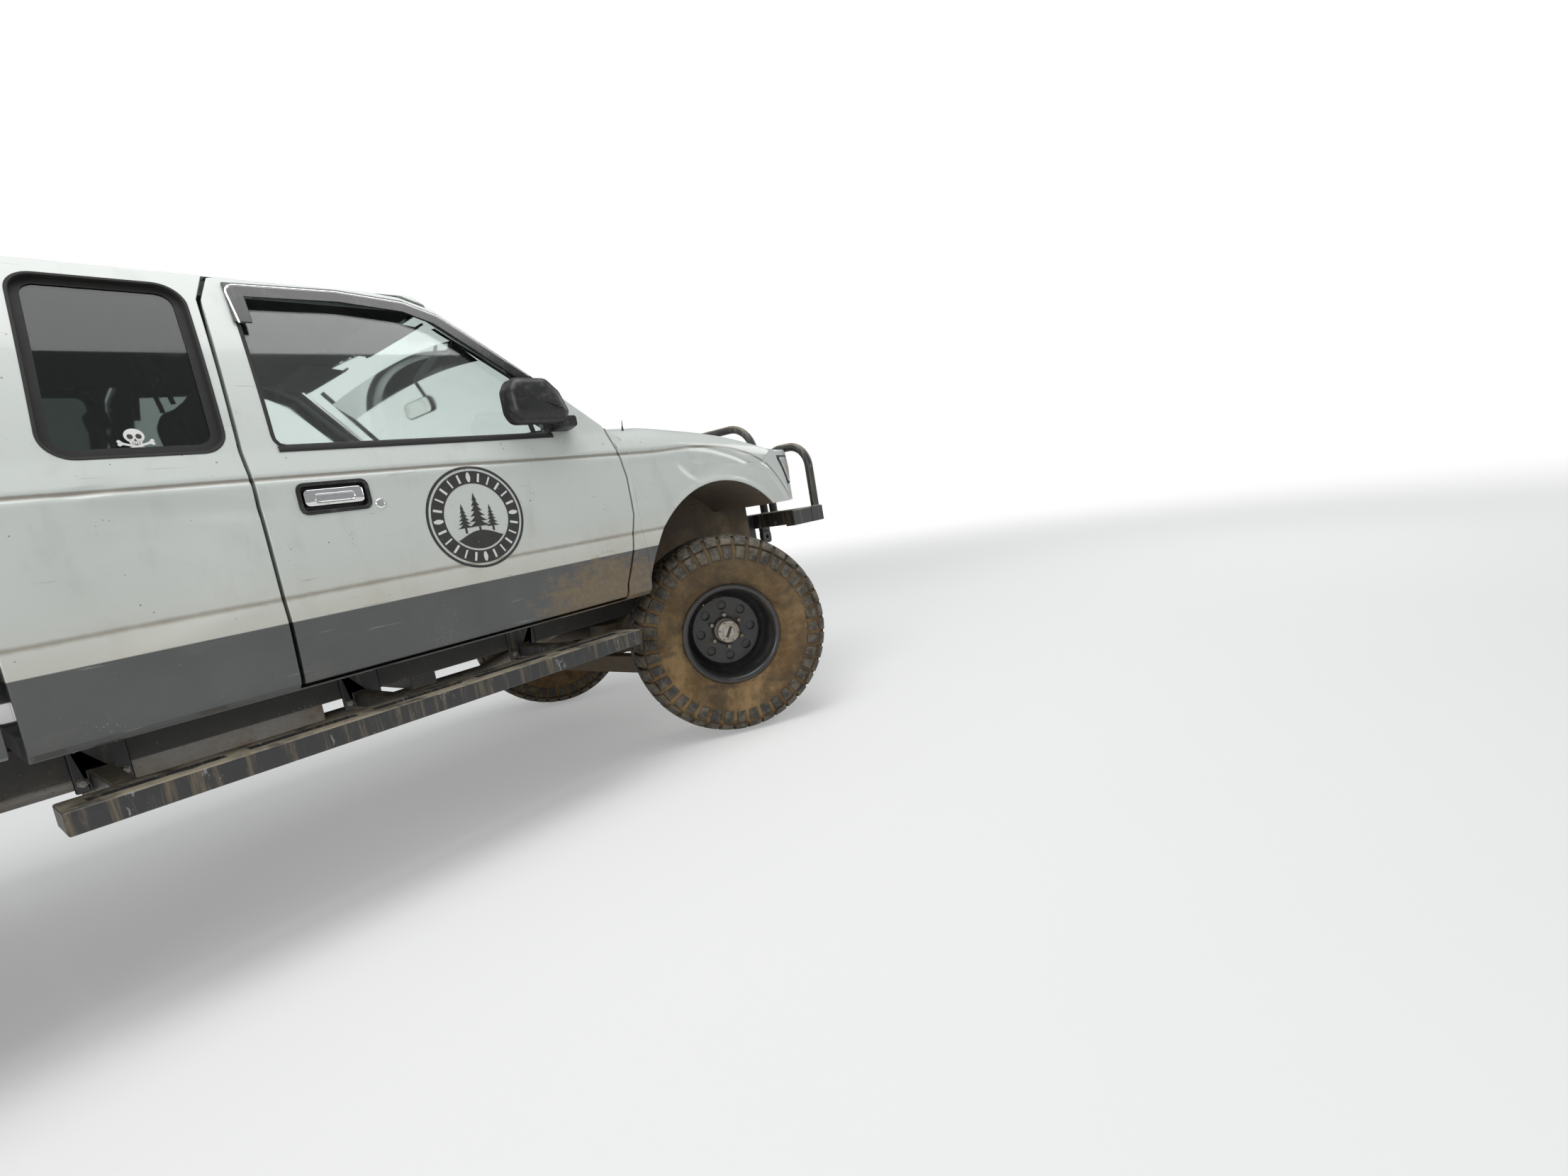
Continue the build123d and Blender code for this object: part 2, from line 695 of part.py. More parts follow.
# Nose panel with the grille's openings
GRILLE_H = (600.0, 715.0)
GRILLE_Y = 425.0
GRILLE_BARS = 3
BAR_T = 12.0
NOSE_T = 45.0
behind_nose = front_block(NOSE_T)
with BuildPart() as nose:
    add(front_outer)
    add(behind_nose, mode=Mode.SUBTRACT)
    box_between(450, 800, -NOSE_IN, NOSE_IN, NOSE_BOTTOM, HOOD_EDGE_H - PANEL_GAP, mode=Mode.INTERSECT)
    add(fender.part, mode=Mode.SUBTRACT)
    for side in (-1, 1):
        box_between(450, 800, side * LAMP_IN, side * (NOSE_IN + 1), 587, HOOD_EDGE_H, mode=Mode.SUBTRACT)
        box_between(450, 800, side * 15, side * GRILLE_Y, *GRILLE_H, mode=Mode.SUBTRACT)
    pitch = (GRILLE_H[1] - GRILLE_H[0]) / (GRILLE_BARS + 1)
    for bar in range(GRILLE_BARS):
        middle = GRILLE_H[0] + pitch * (bar + 1)
        box_between(NOSE - 50, NOSE - 18, -GRILLE_Y, GRILLE_Y, middle - BAR_T / 2, middle + BAR_T / 2)
save(nose, "nose_panel")

lamp_face = front_block(2)
lamp_back = front_block(LAMP_DEPTH)
with BuildPart() as headlamp:
    add(lamp_face)
    add(lamp_back, mode=Mode.SUBTRACT)
    side_prism(LAMP_SIDE, y0=-900, y1=-LAMP_IN - 0.5)
save_both(headlamp, "headlamps")

# Front bumper of rectangular tube with three hoops
BUMPER_H = (380.0, 455.0)
BUMPER_S = (700.0, 800.0)
BUMPER_Y = 760.0
WING_W = 55.0
WING_REAR = 550.0
HOOP_D = 42.0
# Each hoop's two leg places, the height of its top, its bend radius
HOOPS = [
    (-390, 390, 935, 150),
    (-735, -455, 775, 110),
    (455, 735, 775, 110),
]


def tube_path(points, diameter, bend):
    """Round tube through points (s, y, h) with equal bends."""
    route = [(FRONT_X + s, y, AXLE_Z + h) for s, y, h in points]
    with BuildPart() as tube:
        with BuildLine() as path:
            if bend:
                FilletPolyline(*route, radius=bend)
            else:
                Polyline(*route)
        with BuildSketch(Plane(origin=path.line @ 0, z_dir=path.line % 0)):
            Circle(diameter / 2)
        sweep()
    return tube.part


TAB_S = 805.0
TAB_H = 325.0
TAB_Y = (330.0, 355.0)
TAB_HOLE_R = 12.0
leg_s = sum(BUMPER_S) / 2 + 25
hoop_foot = BUMPER_H[1] - 10
hoop_tubes = []
for leg_a, leg_b, top, bend in HOOPS:
    corners = [(leg_s, leg_a, hoop_foot), (leg_s, leg_a, top), (leg_s, leg_b, top), (leg_s, leg_b, hoop_foot)]
    hoop_tubes.append(tube_path(corners, HOOP_D, bend))

with BuildPart() as front_bumper:
    box_between(*BUMPER_S, -BUMPER_Y, BUMPER_Y, *BUMPER_H)
    box_between(BUMPER_S[1], FRONT_REACH, -450, 450, *BUMPER_H)
    for side in (-1, 1):
        box_between(WING_REAR, BUMPER_S[1], side * (BUMPER_Y - WING_W), side * BUMPER_Y, *BUMPER_H)
        box_between(560, BUMPER_S[0], side * (RAIL_Y - 20), side * (RAIL_Y + 20),
                    RAIL_BOTTOM + RAIL_H, BUMPER_H[1])
        box_between(TAB_S - 35, FRONT_REACH, side * TAB_Y[0], side * TAB_Y[1], TAB_H - 35, BUMPER_H[0])
        y0, y1 = sorted((side * TAB_Y[0], side * TAB_Y[1]))
        cylinder_across(TAB_S, TAB_H, TAB_HOLE_R, y0, y1, mode=Mode.SUBTRACT)
    for hoop in hoop_tubes:
        add(hoop)
save(front_bumper, "front_bumper")

# Load bed
LAMP_REAR_H = (500.0, 770.0)
LAMP_REAR_T = 40.0
BED_SIDE_END = [
    (BED_WALL_IN, BED_FLOOR_H - BED_FLOOR_T),
    (805, DOOR_BOTTOM + 6),
    (832, DOOR_BOTTOM + 16),
    (850, TWO_TONE_H),
    (843, LOWER_CREASE_H),
    (841, 640),
    (835, UPPER_CREASE_H),
    (815, BED_RAIL_H - 8),
    (800, BED_RAIL_H),
    (BED_WALL_IN, BED_RAIL_H),
]

GATE_PIVOT = (BED_REAR + 22, 425.0)
GATE_BOTTOM = 408.0
GATE_PIN_R = 8.0
GATE_PIN_DEPTH = 12.0
with BuildPart() as bed_side:
    end_prism([(-y, h) for y, h in BED_SIDE_END], BED_REAR, BED_FRONT)
    cylinder_across(REAR_S, ARCH_H, HUMP_R, -BED_WALL_IN, -HUMP_IN)
    box_between(BED_REAR, BED_FRONT, -BED_WALL_IN, 0, -600, BED_FLOOR_H - BED_FLOOR_T, mode=Mode.SUBTRACT)
    cylinder_across(REAR_S, ARCH_H, ARCH_R, -900, -HUMP_IN - 20, mode=Mode.SUBTRACT)
    box_between(BED_REAR, BED_REAR + LAMP_REAR_T, -900, -BED_WALL_IN - 12, *LAMP_REAR_H, mode=Mode.SUBTRACT)
    cylinder_across(*GATE_PIVOT, GATE_PIN_R + PIN_PLAY, -BED_WALL_IN - GATE_PIN_DEPTH - 1, -BED_WALL_IN,
                    mode=Mode.SUBTRACT)
save_pair(bed_side, "bed_side")

with BuildPart() as tail_lamp:
    end_prism([(-y, h) for y, h in BED_SIDE_END], BED_REAR, BED_REAR + LAMP_REAR_T)
    box_between(BED_REAR, BED_FRONT, -900, -BED_WALL_IN - 12, *LAMP_REAR_H, mode=Mode.INTERSECT)
save_both(tail_lamp, "tail_lamps")

BED_FLOOR_END = BED_REAR + 60
with BuildPart() as bed_floor:
    box_between(BED_FLOOR_END, BED_FRONT - BED_FRONT_T, -BED_WALL_IN, BED_WALL_IN,
                BED_FLOOR_H - BED_FLOOR_T, BED_FLOOR_H)
    for side in (-1, 1):
        y0, y1 = sorted((side * HUMP_IN, side * BED_WALL_IN))
        cylinder_across(REAR_S, ARCH_H, HUMP_R + 0.3, y0, y1, mode=Mode.SUBTRACT)
save(bed_floor, "bed_floor")

with BuildPart() as bed_front:
    box_between(BED_FRONT - BED_FRONT_T, BED_FRONT, -BED_WALL_IN, BED_WALL_IN,
                BED_FLOOR_H - BED_FLOOR_T, BED_RAIL_H)
save(bed_front, "bed_front")

with BuildPart() as tailgate:
    box_between(BED_REAR, BED_REAR + TAILGATE_T, -BED_WALL_IN + PANEL_GAP, BED_WALL_IN - PANEL_GAP,
                GATE_BOTTOM, BED_RAIL_H)
    with Locations((FRONT_X + BED_REAR, 0, AXLE_Z + 770)):
        Box(30, 200, 60, mode=Mode.SUBTRACT)
    for side in (-1, 1):
        y0, y1 = sorted((side * (BED_WALL_IN - PANEL_GAP), side * (BED_WALL_IN + GATE_PIN_DEPTH)))
        cylinder_across(*GATE_PIVOT, GATE_PIN_R, y0, y1)
save(tailgate, "tailgate")

# Ladder frame
RAIL_TOP = RAIL_BOTTOM + RAIL_H
REAR_RAIL_BOTTOM = 240.0
RAIL_FRONT = 620.0
KICK_FRONT = REAR_S + 646
KICK_REAR = REAR_S + 396
RAIL_SIDE = [
    (RAIL_FRONT, RAIL_BOTTOM),
    (RAIL_FRONT, RAIL_TOP),
    (KICK_FRONT, RAIL_TOP),
    (KICK_REAR, REAR_RAIL_BOTTOM + RAIL_H),
    (RAIL_END, REAR_RAIL_BOTTOM + RAIL_H),
    (RAIL_END, REAR_RAIL_BOTTOM),
    (KICK_REAR - 30, REAR_RAIL_BOTTOM),
    (KICK_FRONT - 30, RAIL_BOTTOM),
]
# Cross members: station, height above the rail's bottom there, tube size along s and h
CROSS = [
    (RAIL_FRONT - 40, RAIL_BOTTOM + 20, 70, 70),
    (-1180, RAIL_BOTTOM - 45, 90, 45),
    (-1950, RAIL_BOTTOM + 50, 60, 60),
    (REAR_S + 506, RAIL_BOTTOM + 70, 60, 70),
    (REAR_S - 464, REAR_RAIL_BOTTOM + 15, 60, 80),
    (RAIL_END + 50, REAR_RAIL_BOTTOM + 10, 80, 90),
]
MOUNT_S = (-620.0, -1300.0, -2080.0)
BED_MOUNT_S = (REAR_S + 196, REAR_S - 804)
with BuildPart() as chassis_frame:
    for side in (-1, 1):
        y0, y1 = sorted((side * (RAIL_Y - RAIL_W / 2), side * (RAIL_Y + RAIL_W / 2)))
        side_prism(RAIL_SIDE, y0=y0, y1=y1, mode=Mode.ADD)
        for s in MOUNT_S:
            box_between(s - 35, s + 35, y0, y1, RAIL_TOP, BODY_BOTTOM)
        for s in BED_MOUNT_S:
            box_between(s - 35, s + 35, y0, y1, REAR_RAIL_BOTTOM + RAIL_H, BED_FLOOR_H - BED_FLOOR_T)
    for s, h, along, tall in CROSS:
        box_between(s - along / 2, s + along / 2, -RAIL_Y, RAIL_Y, h, h + tall)
save(chassis_frame, "chassis_frame")

# Engine, gearbox and shafts
ENGINE_S = (-330.0, 330.0)
with BuildPart() as engine_block:
    box_between(*ENGINE_S, -250, 250, 150, 640)
save(engine_block, "engine_block")

GEARBOX_S = (-1240.0, ENGINE_S[0])
DIFF_R = 145.0
rear_shaft = tube_path([(GEARBOX_S[0] + 10, 0, 190), (REAR_S + DIFF_R - 12, 0, 40)], 76, 0)
front_shaft = tube_path([(GEARBOX_S[0] + 120, 95, 165), (-120, 95, 20)], 60, 0)
with BuildPart() as gearbox:
    box_between(*GEARBOX_S, -130, 130, RAIL_BOTTOM, 355)
    add(rear_shaft)
    add(front_shaft)
save(gearbox, "gearbox")

# Radiator behind the grille
with BuildPart() as radiator:
    box_between(490, 540, -380, 380, RAIL_TOP, 660)
save(radiator, "radiator")

# Front suspension: cross members, differential, arms and half shafts
ARM_LOW = -150.0
ARM_UP = 146.0
ARM_T = 24.0
PIVOT_R = 14.0
PIVOT_GAP = 0.05
with BuildPart() as front_suspension:
    for s in (-210, 150):
        box_between(s, s + 60, -RAIL_Y - 30, RAIL_Y + 30, ARM_LOW - 10, ARM_LOW + 70)
        for side in (-1, 1):
            box_between(s, s + 60, side * (RAIL_Y - 30), side * (RAIL_Y + 30), ARM_LOW, RAIL_BOTTOM)
    cylinder_across(0, 0, 95, -90, 130)
    box_between(-170, 160, -60, 60, -100, 60)
    for side in (-1, 1):
        y0, y1 = sorted((side * 60, side * (KINGPIN_Y - 75)))
        cylinder_across(0, 0, 20, y0, y1)
        y0, y1 = sorted((side * (KINGPIN_Y - 165), side * (KINGPIN_Y - 75)))
        cylinder_across(0, 0, 45, y0, y1)
        for h, half, root in ((ARM_LOW, 190, RAIL_Y + 20), (ARM_UP, 120, RAIL_Y + RAIL_W / 2)):
            with BuildSketch(Plane.XY.offset(AXLE_Z + h - ARM_T / 2)) as arm:
                with BuildLine():
                    Polyline(
                        (FRONT_X - half, side * root),
                        (FRONT_X - 32, side * KINGPIN_Y),
                        (FRONT_X + 32, side * KINGPIN_Y),
                        (FRONT_X + half, side * root),
                        (FRONT_X + half - 55, side * root),
                        (FRONT_X, side * (KINGPIN_Y - 110)),
                        (FRONT_X - half + 55, side * root),
                        close=True,
                    )
                make_face()
            extrude(arm.sketch, amount=ARM_T)
        with Locations((FRONT_X, side * KINGPIN_Y, AXLE_Z)):
            Cylinder(26, 2 * ARM_UP + ARM_T)
            Cylinder(70, 2 * (ARM_UP - ARM_T / 2), mode=Mode.SUBTRACT)
            Cylinder(PIVOT_R, 400, mode=Mode.SUBTRACT)
    add(front_shaft, mode=Mode.SUBTRACT)
save(front_suspension, "front_suspension")

# Rear axle with its springs
with BuildPart() as rear_axle:
    cylinder_across(REAR_S, 0, 42, -REAR_LUG_Y + 40, REAR_LUG_Y - 40)
    with Locations((FRONT_X + REAR_S, 0, AXLE_Z)):
        Sphere(DIFF_R)
    for side in (-1, 1):
        y0, y1 = sorted((side * (REAR_LUG_Y - 90), side * (REAR_LUG_Y - 34)))
        cylinder_across(REAR_S, 0, 140, y0, y1)
        y0, y1 = sorted((side * (REAR_LUG_Y - 40), side * (REAR_LUG_Y - 3)))
        cylinder_across(REAR_S, 0, 53.7, y0, y1)
        box_between(REAR_S - 60, REAR_S + 60, side * 440, side * 500, 0, 47)
    add(rear_shaft, mode=Mode.SUBTRACT)
save(rear_axle, "rear_axle")

SPRING_Y = (440.0, 500.0)
SPRING_T = 36.0
with BuildPart() as leaf_springs:
    for side in (-1, 1):
        y0, y1 = sorted((side * SPRING_Y[0], side * SPRING_Y[1]))
        eyes = [at(REAR_S + 620, 170), at(REAR_S, 47.3 + SPRING_T / 2), at(REAR_S - 680, 200)]
        with BuildSketch(Plane.XZ.offset(-y1)) as leaf:
            with BuildLine() as line:
                ThreePointArc(*eyes)
            trace(line.edges(), line_width=SPRING_T)
        extrude(leaf.sketch, amount=y1 - y0)
        y0, y1 = sorted((side * (RAIL_Y + RAIL_W / 2), side * SPRING_Y[1]))
        box_between(REAR_S + 590, REAR_S + 650, y0, y1, 150, 260)
        box_between(REAR_S - 710, REAR_S - 660, y0, y1, 180, 330)
save(leaf_springs, "leaf_springs")

# Rear bumper with its receiver
REAR_BUMPER_H = (225.0, 325.0)
RECEIVER = 50.8
RECEIVER_WALL = 6.4
RECEIVER_H = 170.0
PIN_R = 8.0
with BuildPart() as rear_bumper:
    box_between(TAIL, TAIL + 90, -800, 800, *REAR_BUMPER_H)
    for side in (-1, 1):
        box_between(TAIL + 90, RAIL_END, side * (RAIL_Y - 30), side * (RAIL_Y + 30),
                    REAR_RAIL_BOTTOM + 5, REAR_BUMPER_H[1])
    outer = RECEIVER / 2 + RECEIVER_WALL
    box_between(TAIL, TAIL + 216, -outer, outer, RECEIVER_H - outer, RECEIVER_H + outer)
    box_between(TAIL + 20, TAIL + 80, -outer, outer, RECEIVER_H, REAR_BUMPER_H[0])
    box_between(TAIL - 1, TAIL + 206, -RECEIVER / 2, RECEIVER / 2,
                RECEIVER_H - RECEIVER / 2, RECEIVER_H + RECEIVER / 2, mode=Mode.SUBTRACT)
    cylinder_across(TAIL + 65, RECEIVER_H, PIN_R, -100, 100, mode=Mode.SUBTRACT)
save(rear_bumper, "rear_bumper")

# Rock sliders
SLIDER_H = (87.0, 141.0)
SLIDER_OUT = 869.0
SLIDER_S = (-2180.0, -605.0)
LEG_S = (-800.0, -1400.0, -2050.0)
SLIDER_PLATES = 6
with BuildPart() as slider:
    box_between(*SLIDER_S, -SLIDER_OUT, -SLIDER_OUT + 60, *SLIDER_H)
    box_between(*SLIDER_S, -SLIDER_OUT + 110, -SLIDER_OUT + 150, *SLIDER_H)
    for number in range(SLIDER_PLATES):
        s = SLIDER_S[0] + 25 + number * (SLIDER_S[1] - SLIDER_S[0] - 50) / (SLIDER_PLATES - 1)
        box_between(s - 25, s + 25, -SLIDER_OUT + 60, -SLIDER_OUT + 110, *SLIDER_H)
    for s in LEG_S:
        box_between(s - 25, s + 25, -SLIDER_OUT + 150, -RAIL_Y - RAIL_W / 2, 90, 136)
        box_between(s - 60, s + 60, -RAIL_Y - RAIL_W / 2 - 6, -RAIL_Y - RAIL_W / 2, 85, 230)
save_both(slider, "sliders")

# Mirrors, on the doors
MIRROR_SIDE = [
    (-752, 905),
    (-748, 940),
    (-772, 1008),
    (-815, 1050),
    (-935, 1050),
    (-962, 1010),
    (-962, 940),
    (-945, 905),
]
MIRROR_Y = (838.0, 918.0)
with BuildPart() as door_mirror:
    side_prism(MIRROR_SIDE, y0=-MIRROR_Y[1], y1=-MIRROR_Y[0], mode=Mode.ADD)
    chamfer(door_mirror.faces().sort_by(Axis.Y)[0].edges(), 14)
    box_between(-775, -692, -870, -760, 884, 936)
    add(cab_outer, mode=Mode.SUBTRACT)
save_pair(door_mirror, "mirror")

# Seats, dashboard and steering wheel
SEAT_SIDE = [
    (-1080, 430),
    (-1075, 560),
    (-1110, 585),
    (-1560, 560),
    (-1690, 1110),
    (-1700, 1240),
    (-1765, 1240),
    (-1770, 1100),
    (-1700, 440),
]
SEAT_Y = (165.0, 640.0)
with BuildPart() as seat:
    side_prism(SEAT_SIDE, y0=-SEAT_Y[1], y1=-SEAT_Y[0], mode=Mode.ADD)
    box_between(-1650, -1120, -SEAT_Y[1] + 40, -SEAT_Y[0] - 40, BODY_BOTTOM + WALL, 440)
save_both(seat, "seats")

DASH_SIDE = [
    (-531, 560),
    (-640, 560),
    (-740, 660),
    (-760, 800),
    (-690, 862),
    (-531, 868),
]
DASH_Y = 680.0
with BuildPart() as dashboard:
    side_prism(DASH_SIDE, y0=-DASH_Y, y1=DASH_Y, mode=Mode.ADD)
save(dashboard, "dashboard")

WHEEL_S = -905.0
WHEEL_H = 830.0
WHEEL_Y = 370.0
WHEEL_RAKE = 25.0
with BuildPart() as steering_wheel:
    hub_x, hub_z = at(WHEEL_S, WHEEL_H)
    rake = radians(WHEEL_RAKE)
    tilt = Plane(origin=(hub_x, WHEEL_Y, hub_z), x_dir=(0, 1, 0), z_dir=(-cos(rake), 0, sin(rake)))
    with BuildSketch(tilt) as ring:
        Circle(190)
        Circle(162, mode=Mode.SUBTRACT)
        Rectangle(330, 40)
        Circle(55)
    extrude(ring.sketch, amount=24)
    with BuildSketch(tilt) as column:
        Circle(28)
    extrude(column.sketch, amount=-190)
    add(dashboard.part, mode=Mode.SUBTRACT)
save(steering_wheel, "steering_wheel")

# Fuel tank and exhaust
with BuildPart() as fuel_tank:
    box_between(REAR_S + 576, -1980, 60, 300, 60, 235)
save(fuel_tank, "fuel_tank")

EXHAUST_Y = -230.0
FRONT_PIPE = [(-400, EXHAUST_Y, 170), (-900, EXHAUST_Y, 50), (-1500, EXHAUST_Y, 50)]
TAIL_PIPE = [
    (-2070, EXHAUST_Y, 100),
    (KICK_REAR, EXHAUST_Y, 100),
    (KICK_REAR - 200, EXHAUST_Y, 150),
    (RAIL_END + 20, EXHAUST_Y, 150),
]
front_pipe = tube_path(FRONT_PIPE, 56, 120)
tail_pipe = tube_path(TAIL_PIPE, 56, 120)
# Hangers under two cross members: station, bottom and top
HANGERS = [
    (-1950, 140, RAIL_BOTTOM + 50),
    (REAR_S - 464, 160, REAR_RAIL_BOTTOM + 15),
]
with BuildPart() as exhaust:
    add(front_pipe)
    box_between(-2080, -1490, EXHAUST_Y - 60, EXHAUST_Y + 60, 20, 150)
    add(tail_pipe)
    for s, h0, h1 in HANGERS:
        box_between(s - 8, s + 8, EXHAUST_Y - 15, EXHAUST_Y + 15, h0, h1)
save(exhaust, "exhaust")

# Wheels. Their outlines are rows of radius and w, outboard of the lug plane
BARREL_T = 6.0
FLANGE_T = 12.0
HUB_BORE_R = 54.0
RIM_OUTLINE = [
    (HUB_BORE_R, -30),
    (HUB_BORE_R, -2),
    (0, -2),
    (0, 66),
    (34, 66),
    (44, 56),
    (46, 12),
    (52, 0),
    (150, 0),
    (RIM_SEAT_D / 2 - BARREL_T, -18),
    (RIM_SEAT_D / 2 - BARREL_T, LUG_TO_TYRE + RIM_WIDTH / 2 + FLANGE_T),
    (RIM_SEAT_D / 2 + RIM_LIP, LUG_TO_TYRE + RIM_WIDTH / 2 + FLANGE_T),
    (RIM_SEAT_D / 2 + RIM_LIP, LUG_TO_TYRE + RIM_WIDTH / 2),
    (RIM_SEAT_D / 2, LUG_TO_TYRE + RIM_WIDTH / 2),
    (RIM_SEAT_D / 2, LUG_TO_TYRE - RIM_WIDTH / 2),
    (RIM_SEAT_D / 2 + RIM_LIP, LUG_TO_TYRE - RIM_WIDTH / 2),
    (RIM_SEAT_D / 2 + RIM_LIP, LUG_TO_TYRE - RIM_WIDTH / 2 - FLANGE_T),
    (RIM_SEAT_D / 2 - BARREL_T, LUG_TO_TYRE - RIM_WIDTH / 2 - FLANGE_T),
    (RIM_SEAT_D / 2 - BARREL_T, -28),
    (150, -10),
    (80, -10),
    (70, -30),
]
TYRE_R = TYRE_OD / 2
HALF_TYRE = TYRE_WIDTH / 2
HALF_TREAD = TREAD_WIDTH / 2
TYRE_SIDE = [
    (RIM_SEAT_D / 2, RIM_WIDTH / 2),
    (RIM_SEAT_D / 2 + RIM_LIP + 2, RIM_WIDTH / 2),
    (RIM_SEAT_D / 2 + 60, HALF_TYRE - 12),
    (TYRE_R - 105, HALF_TYRE),
    (TYRE_R - 55, HALF_TYRE - 6),
    (TYRE_R - 8, HALF_TREAD),
    (TYRE_R, HALF_TREAD - 35),
]
VENT_COUNT = 8
VENT_R = 21.0
VENT_PCD = 262.0
NUT_R = 11.0
TREAD_BLOCKS = 24
NOTCH = 26.0

with BuildPart() as rim:
    with BuildSketch(Plane.XZ) as outline:
        with BuildLine():
            Polyline(*RIM_OUTLINE, close=True)
        make_face()
    revolve(outline.sketch, axis=Axis.Z)
    with BuildSketch(Plane.XY.offset(-60)) as vents:
        with PolarLocations(VENT_PCD / 2, VENT_COUNT):
            Circle(VENT_R)
    extrude(vents.sketch, amount=100, mode=Mode.SUBTRACT)
    with BuildSketch(Plane.XY) as nuts:
        with PolarLocations(LUG_PCD / 2, LUG_COUNT):
            RegularPolygon(NUT_R, 6)
    extrude(nuts.sketch, amount=28)

with BuildPart() as tyre:
    outer_rows = [(r, LUG_TO_TYRE + w) for r, w in TYRE_SIDE]
    inner_rows = [(r, LUG_TO_TYRE - w) for r, w in reversed(TYRE_SIDE)]
    with BuildSketch(Plane.XZ) as outline:
        with BuildLine():
            Polyline(*outer_rows, *inner_rows, close=True)
        make_face()
    revolve(outline.sketch, axis=Axis.Z)
    for side in (-1, 1):
        start = 0 if side < 0 else 180 / TREAD_BLOCKS
        base = LUG_TO_TYRE + side * (HALF_TREAD + 20) - (60 if side > 0 else 0)
        with BuildSketch(Plane.XY.offset(base)) as notches:
            with PolarLocations(TYRE_R - 10, TREAD_BLOCKS, start_angle=start):
                Rectangle(60, NOTCH)
        extrude(notches.sketch, amount=60, mode=Mode.SUBTRACT)

WHEEL_SIDES = (("r", -1), ("l", 1))
steer = radians(STEER_REST)
for letter, side in WHEEL_SIDES:
    outboard = (-sin(steer), -cos(steer), 0) if side < 0 else (sin(steer), cos(steer), 0)
    front_hub = (
        FRONT_X + KINGPIN_TO_LUG * outboard[0],
        side * KINGPIN_Y + KINGPIN_TO_LUG * outboard[1],
        AXLE_Z,
    )
    rear_hub = (FRONT_X + REAR_S, side * REAR_LUG_Y, AXLE_Z)
    for place, hub, axis in (("f", front_hub, outboard), ("r", rear_hub, (0, side, 0))):
        wheel_plane = Plane(origin=hub, x_dir=(0, 0, 1), z_dir=axis)
        with BuildPart() as placed_rim:
            with Locations(wheel_plane):
                add(rim.part)
        save(placed_rim, f"rim_{place}{letter}")
        with BuildPart() as placed_tyre:
            with Locations(wheel_plane):
                add(tyre.part)
        save(placed_tyre, f"tyre_{place}{letter}")

    knuckle_plane = Plane(origin=front_hub, x_dir=(0, 0, 1), z_dir=outboard)
    with BuildPart() as knuckle:
        with Locations((FRONT_X, side * KINGPIN_Y, AXLE_Z)):
            Box(50, 50, 2 * (ARM_UP - ARM_T / 2 - 1), rotation=(0, 0, -STEER_REST))
            Cylinder(PIVOT_R - PIVOT_GAP, 2 * ARM_UP + ARM_T)
        for radius, w0, w1 in ((62, -118, -34), (53.7, -34, -3), (150, -62, -36)):
            with BuildSketch(knuckle_plane.offset(w0)) as disc:
                Circle(radius)
            extrude(disc.sketch, amount=w1 - w0)
    save(knuckle, f"knuckle_{letter}")
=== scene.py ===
"""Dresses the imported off-road pickup: body skins, glass, wheels, lamps, bars and cabin, in metres, in its own frame."""

import math

import bmesh
import bpy
import numpy as np
from mathutils import Matrix, Vector


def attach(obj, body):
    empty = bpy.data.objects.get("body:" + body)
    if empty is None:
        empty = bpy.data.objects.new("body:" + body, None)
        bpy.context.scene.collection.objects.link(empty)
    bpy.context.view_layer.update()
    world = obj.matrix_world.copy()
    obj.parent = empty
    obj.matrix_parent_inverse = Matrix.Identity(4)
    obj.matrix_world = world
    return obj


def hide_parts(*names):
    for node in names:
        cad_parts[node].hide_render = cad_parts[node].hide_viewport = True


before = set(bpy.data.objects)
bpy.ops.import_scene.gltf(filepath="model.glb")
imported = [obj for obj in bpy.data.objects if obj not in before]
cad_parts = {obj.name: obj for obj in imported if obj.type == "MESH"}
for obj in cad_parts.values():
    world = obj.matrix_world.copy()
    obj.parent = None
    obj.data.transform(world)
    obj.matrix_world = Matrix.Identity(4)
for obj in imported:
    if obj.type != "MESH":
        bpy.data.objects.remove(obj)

bl_info = {
    "name": "Off-road pickup",
    "version": (1, 0, 0),
    "blender": (4, 5, 0),
    "location": "3D View > Sidebar > Pickup",
    "description": "Builds the body skins, wheels, lamps, bars and cabin of a lifted off-road pickup",
    "category": "Object",
}

# Stations are millimetres: s forward of the front axle, y to the left, h above the axle
FRONT_X, AXLE_Z, REAR_S = 1.728, 0.419, -3096.0
SIDES = (("r", -1), ("l", 1))
X, Y, Z = np.eye(3)


def place(s, y, h):
    """Body stations as points in metres: x = front_x + s, z = axle_z + h."""
    s, y, h = np.broadcast_arrays(*(np.asarray(value, float) for value in (s, y, h)))
    return np.stack([FRONT_X + s / 1000, y / 1000, AXLE_Z + h / 1000], axis=-1)


def stations(points):
    """Points in metres as body stations s, y and h."""
    return (points[:, 0] - FRONT_X) * 1000, points[:, 1] * 1000, (points[:, 2] - AXLE_Z) * 1000


def ease(value, low, high):
    """Smooth step from 0 at low to 1 at high: t t (3 - 2 t)."""
    t = np.clip((value - low) / (high - low), 0, 1)
    return t * t * (3 - 2 * t)


def bell(value, width):
    """Bell of height 1: exp(-(value / width) squared)."""
    return np.exp(-((value / width) ** 2))


def rounded(values, width):
    """Values smoothed by a bell of the given width in samples, with the ends held."""
    reach = int(3 * width) + 1
    weights = np.exp(-0.5 * (np.arange(-reach, reach + 1) / width) ** 2)
    return np.convolve(np.pad(values, reach, "edge"), weights / weights.sum(), "valid")


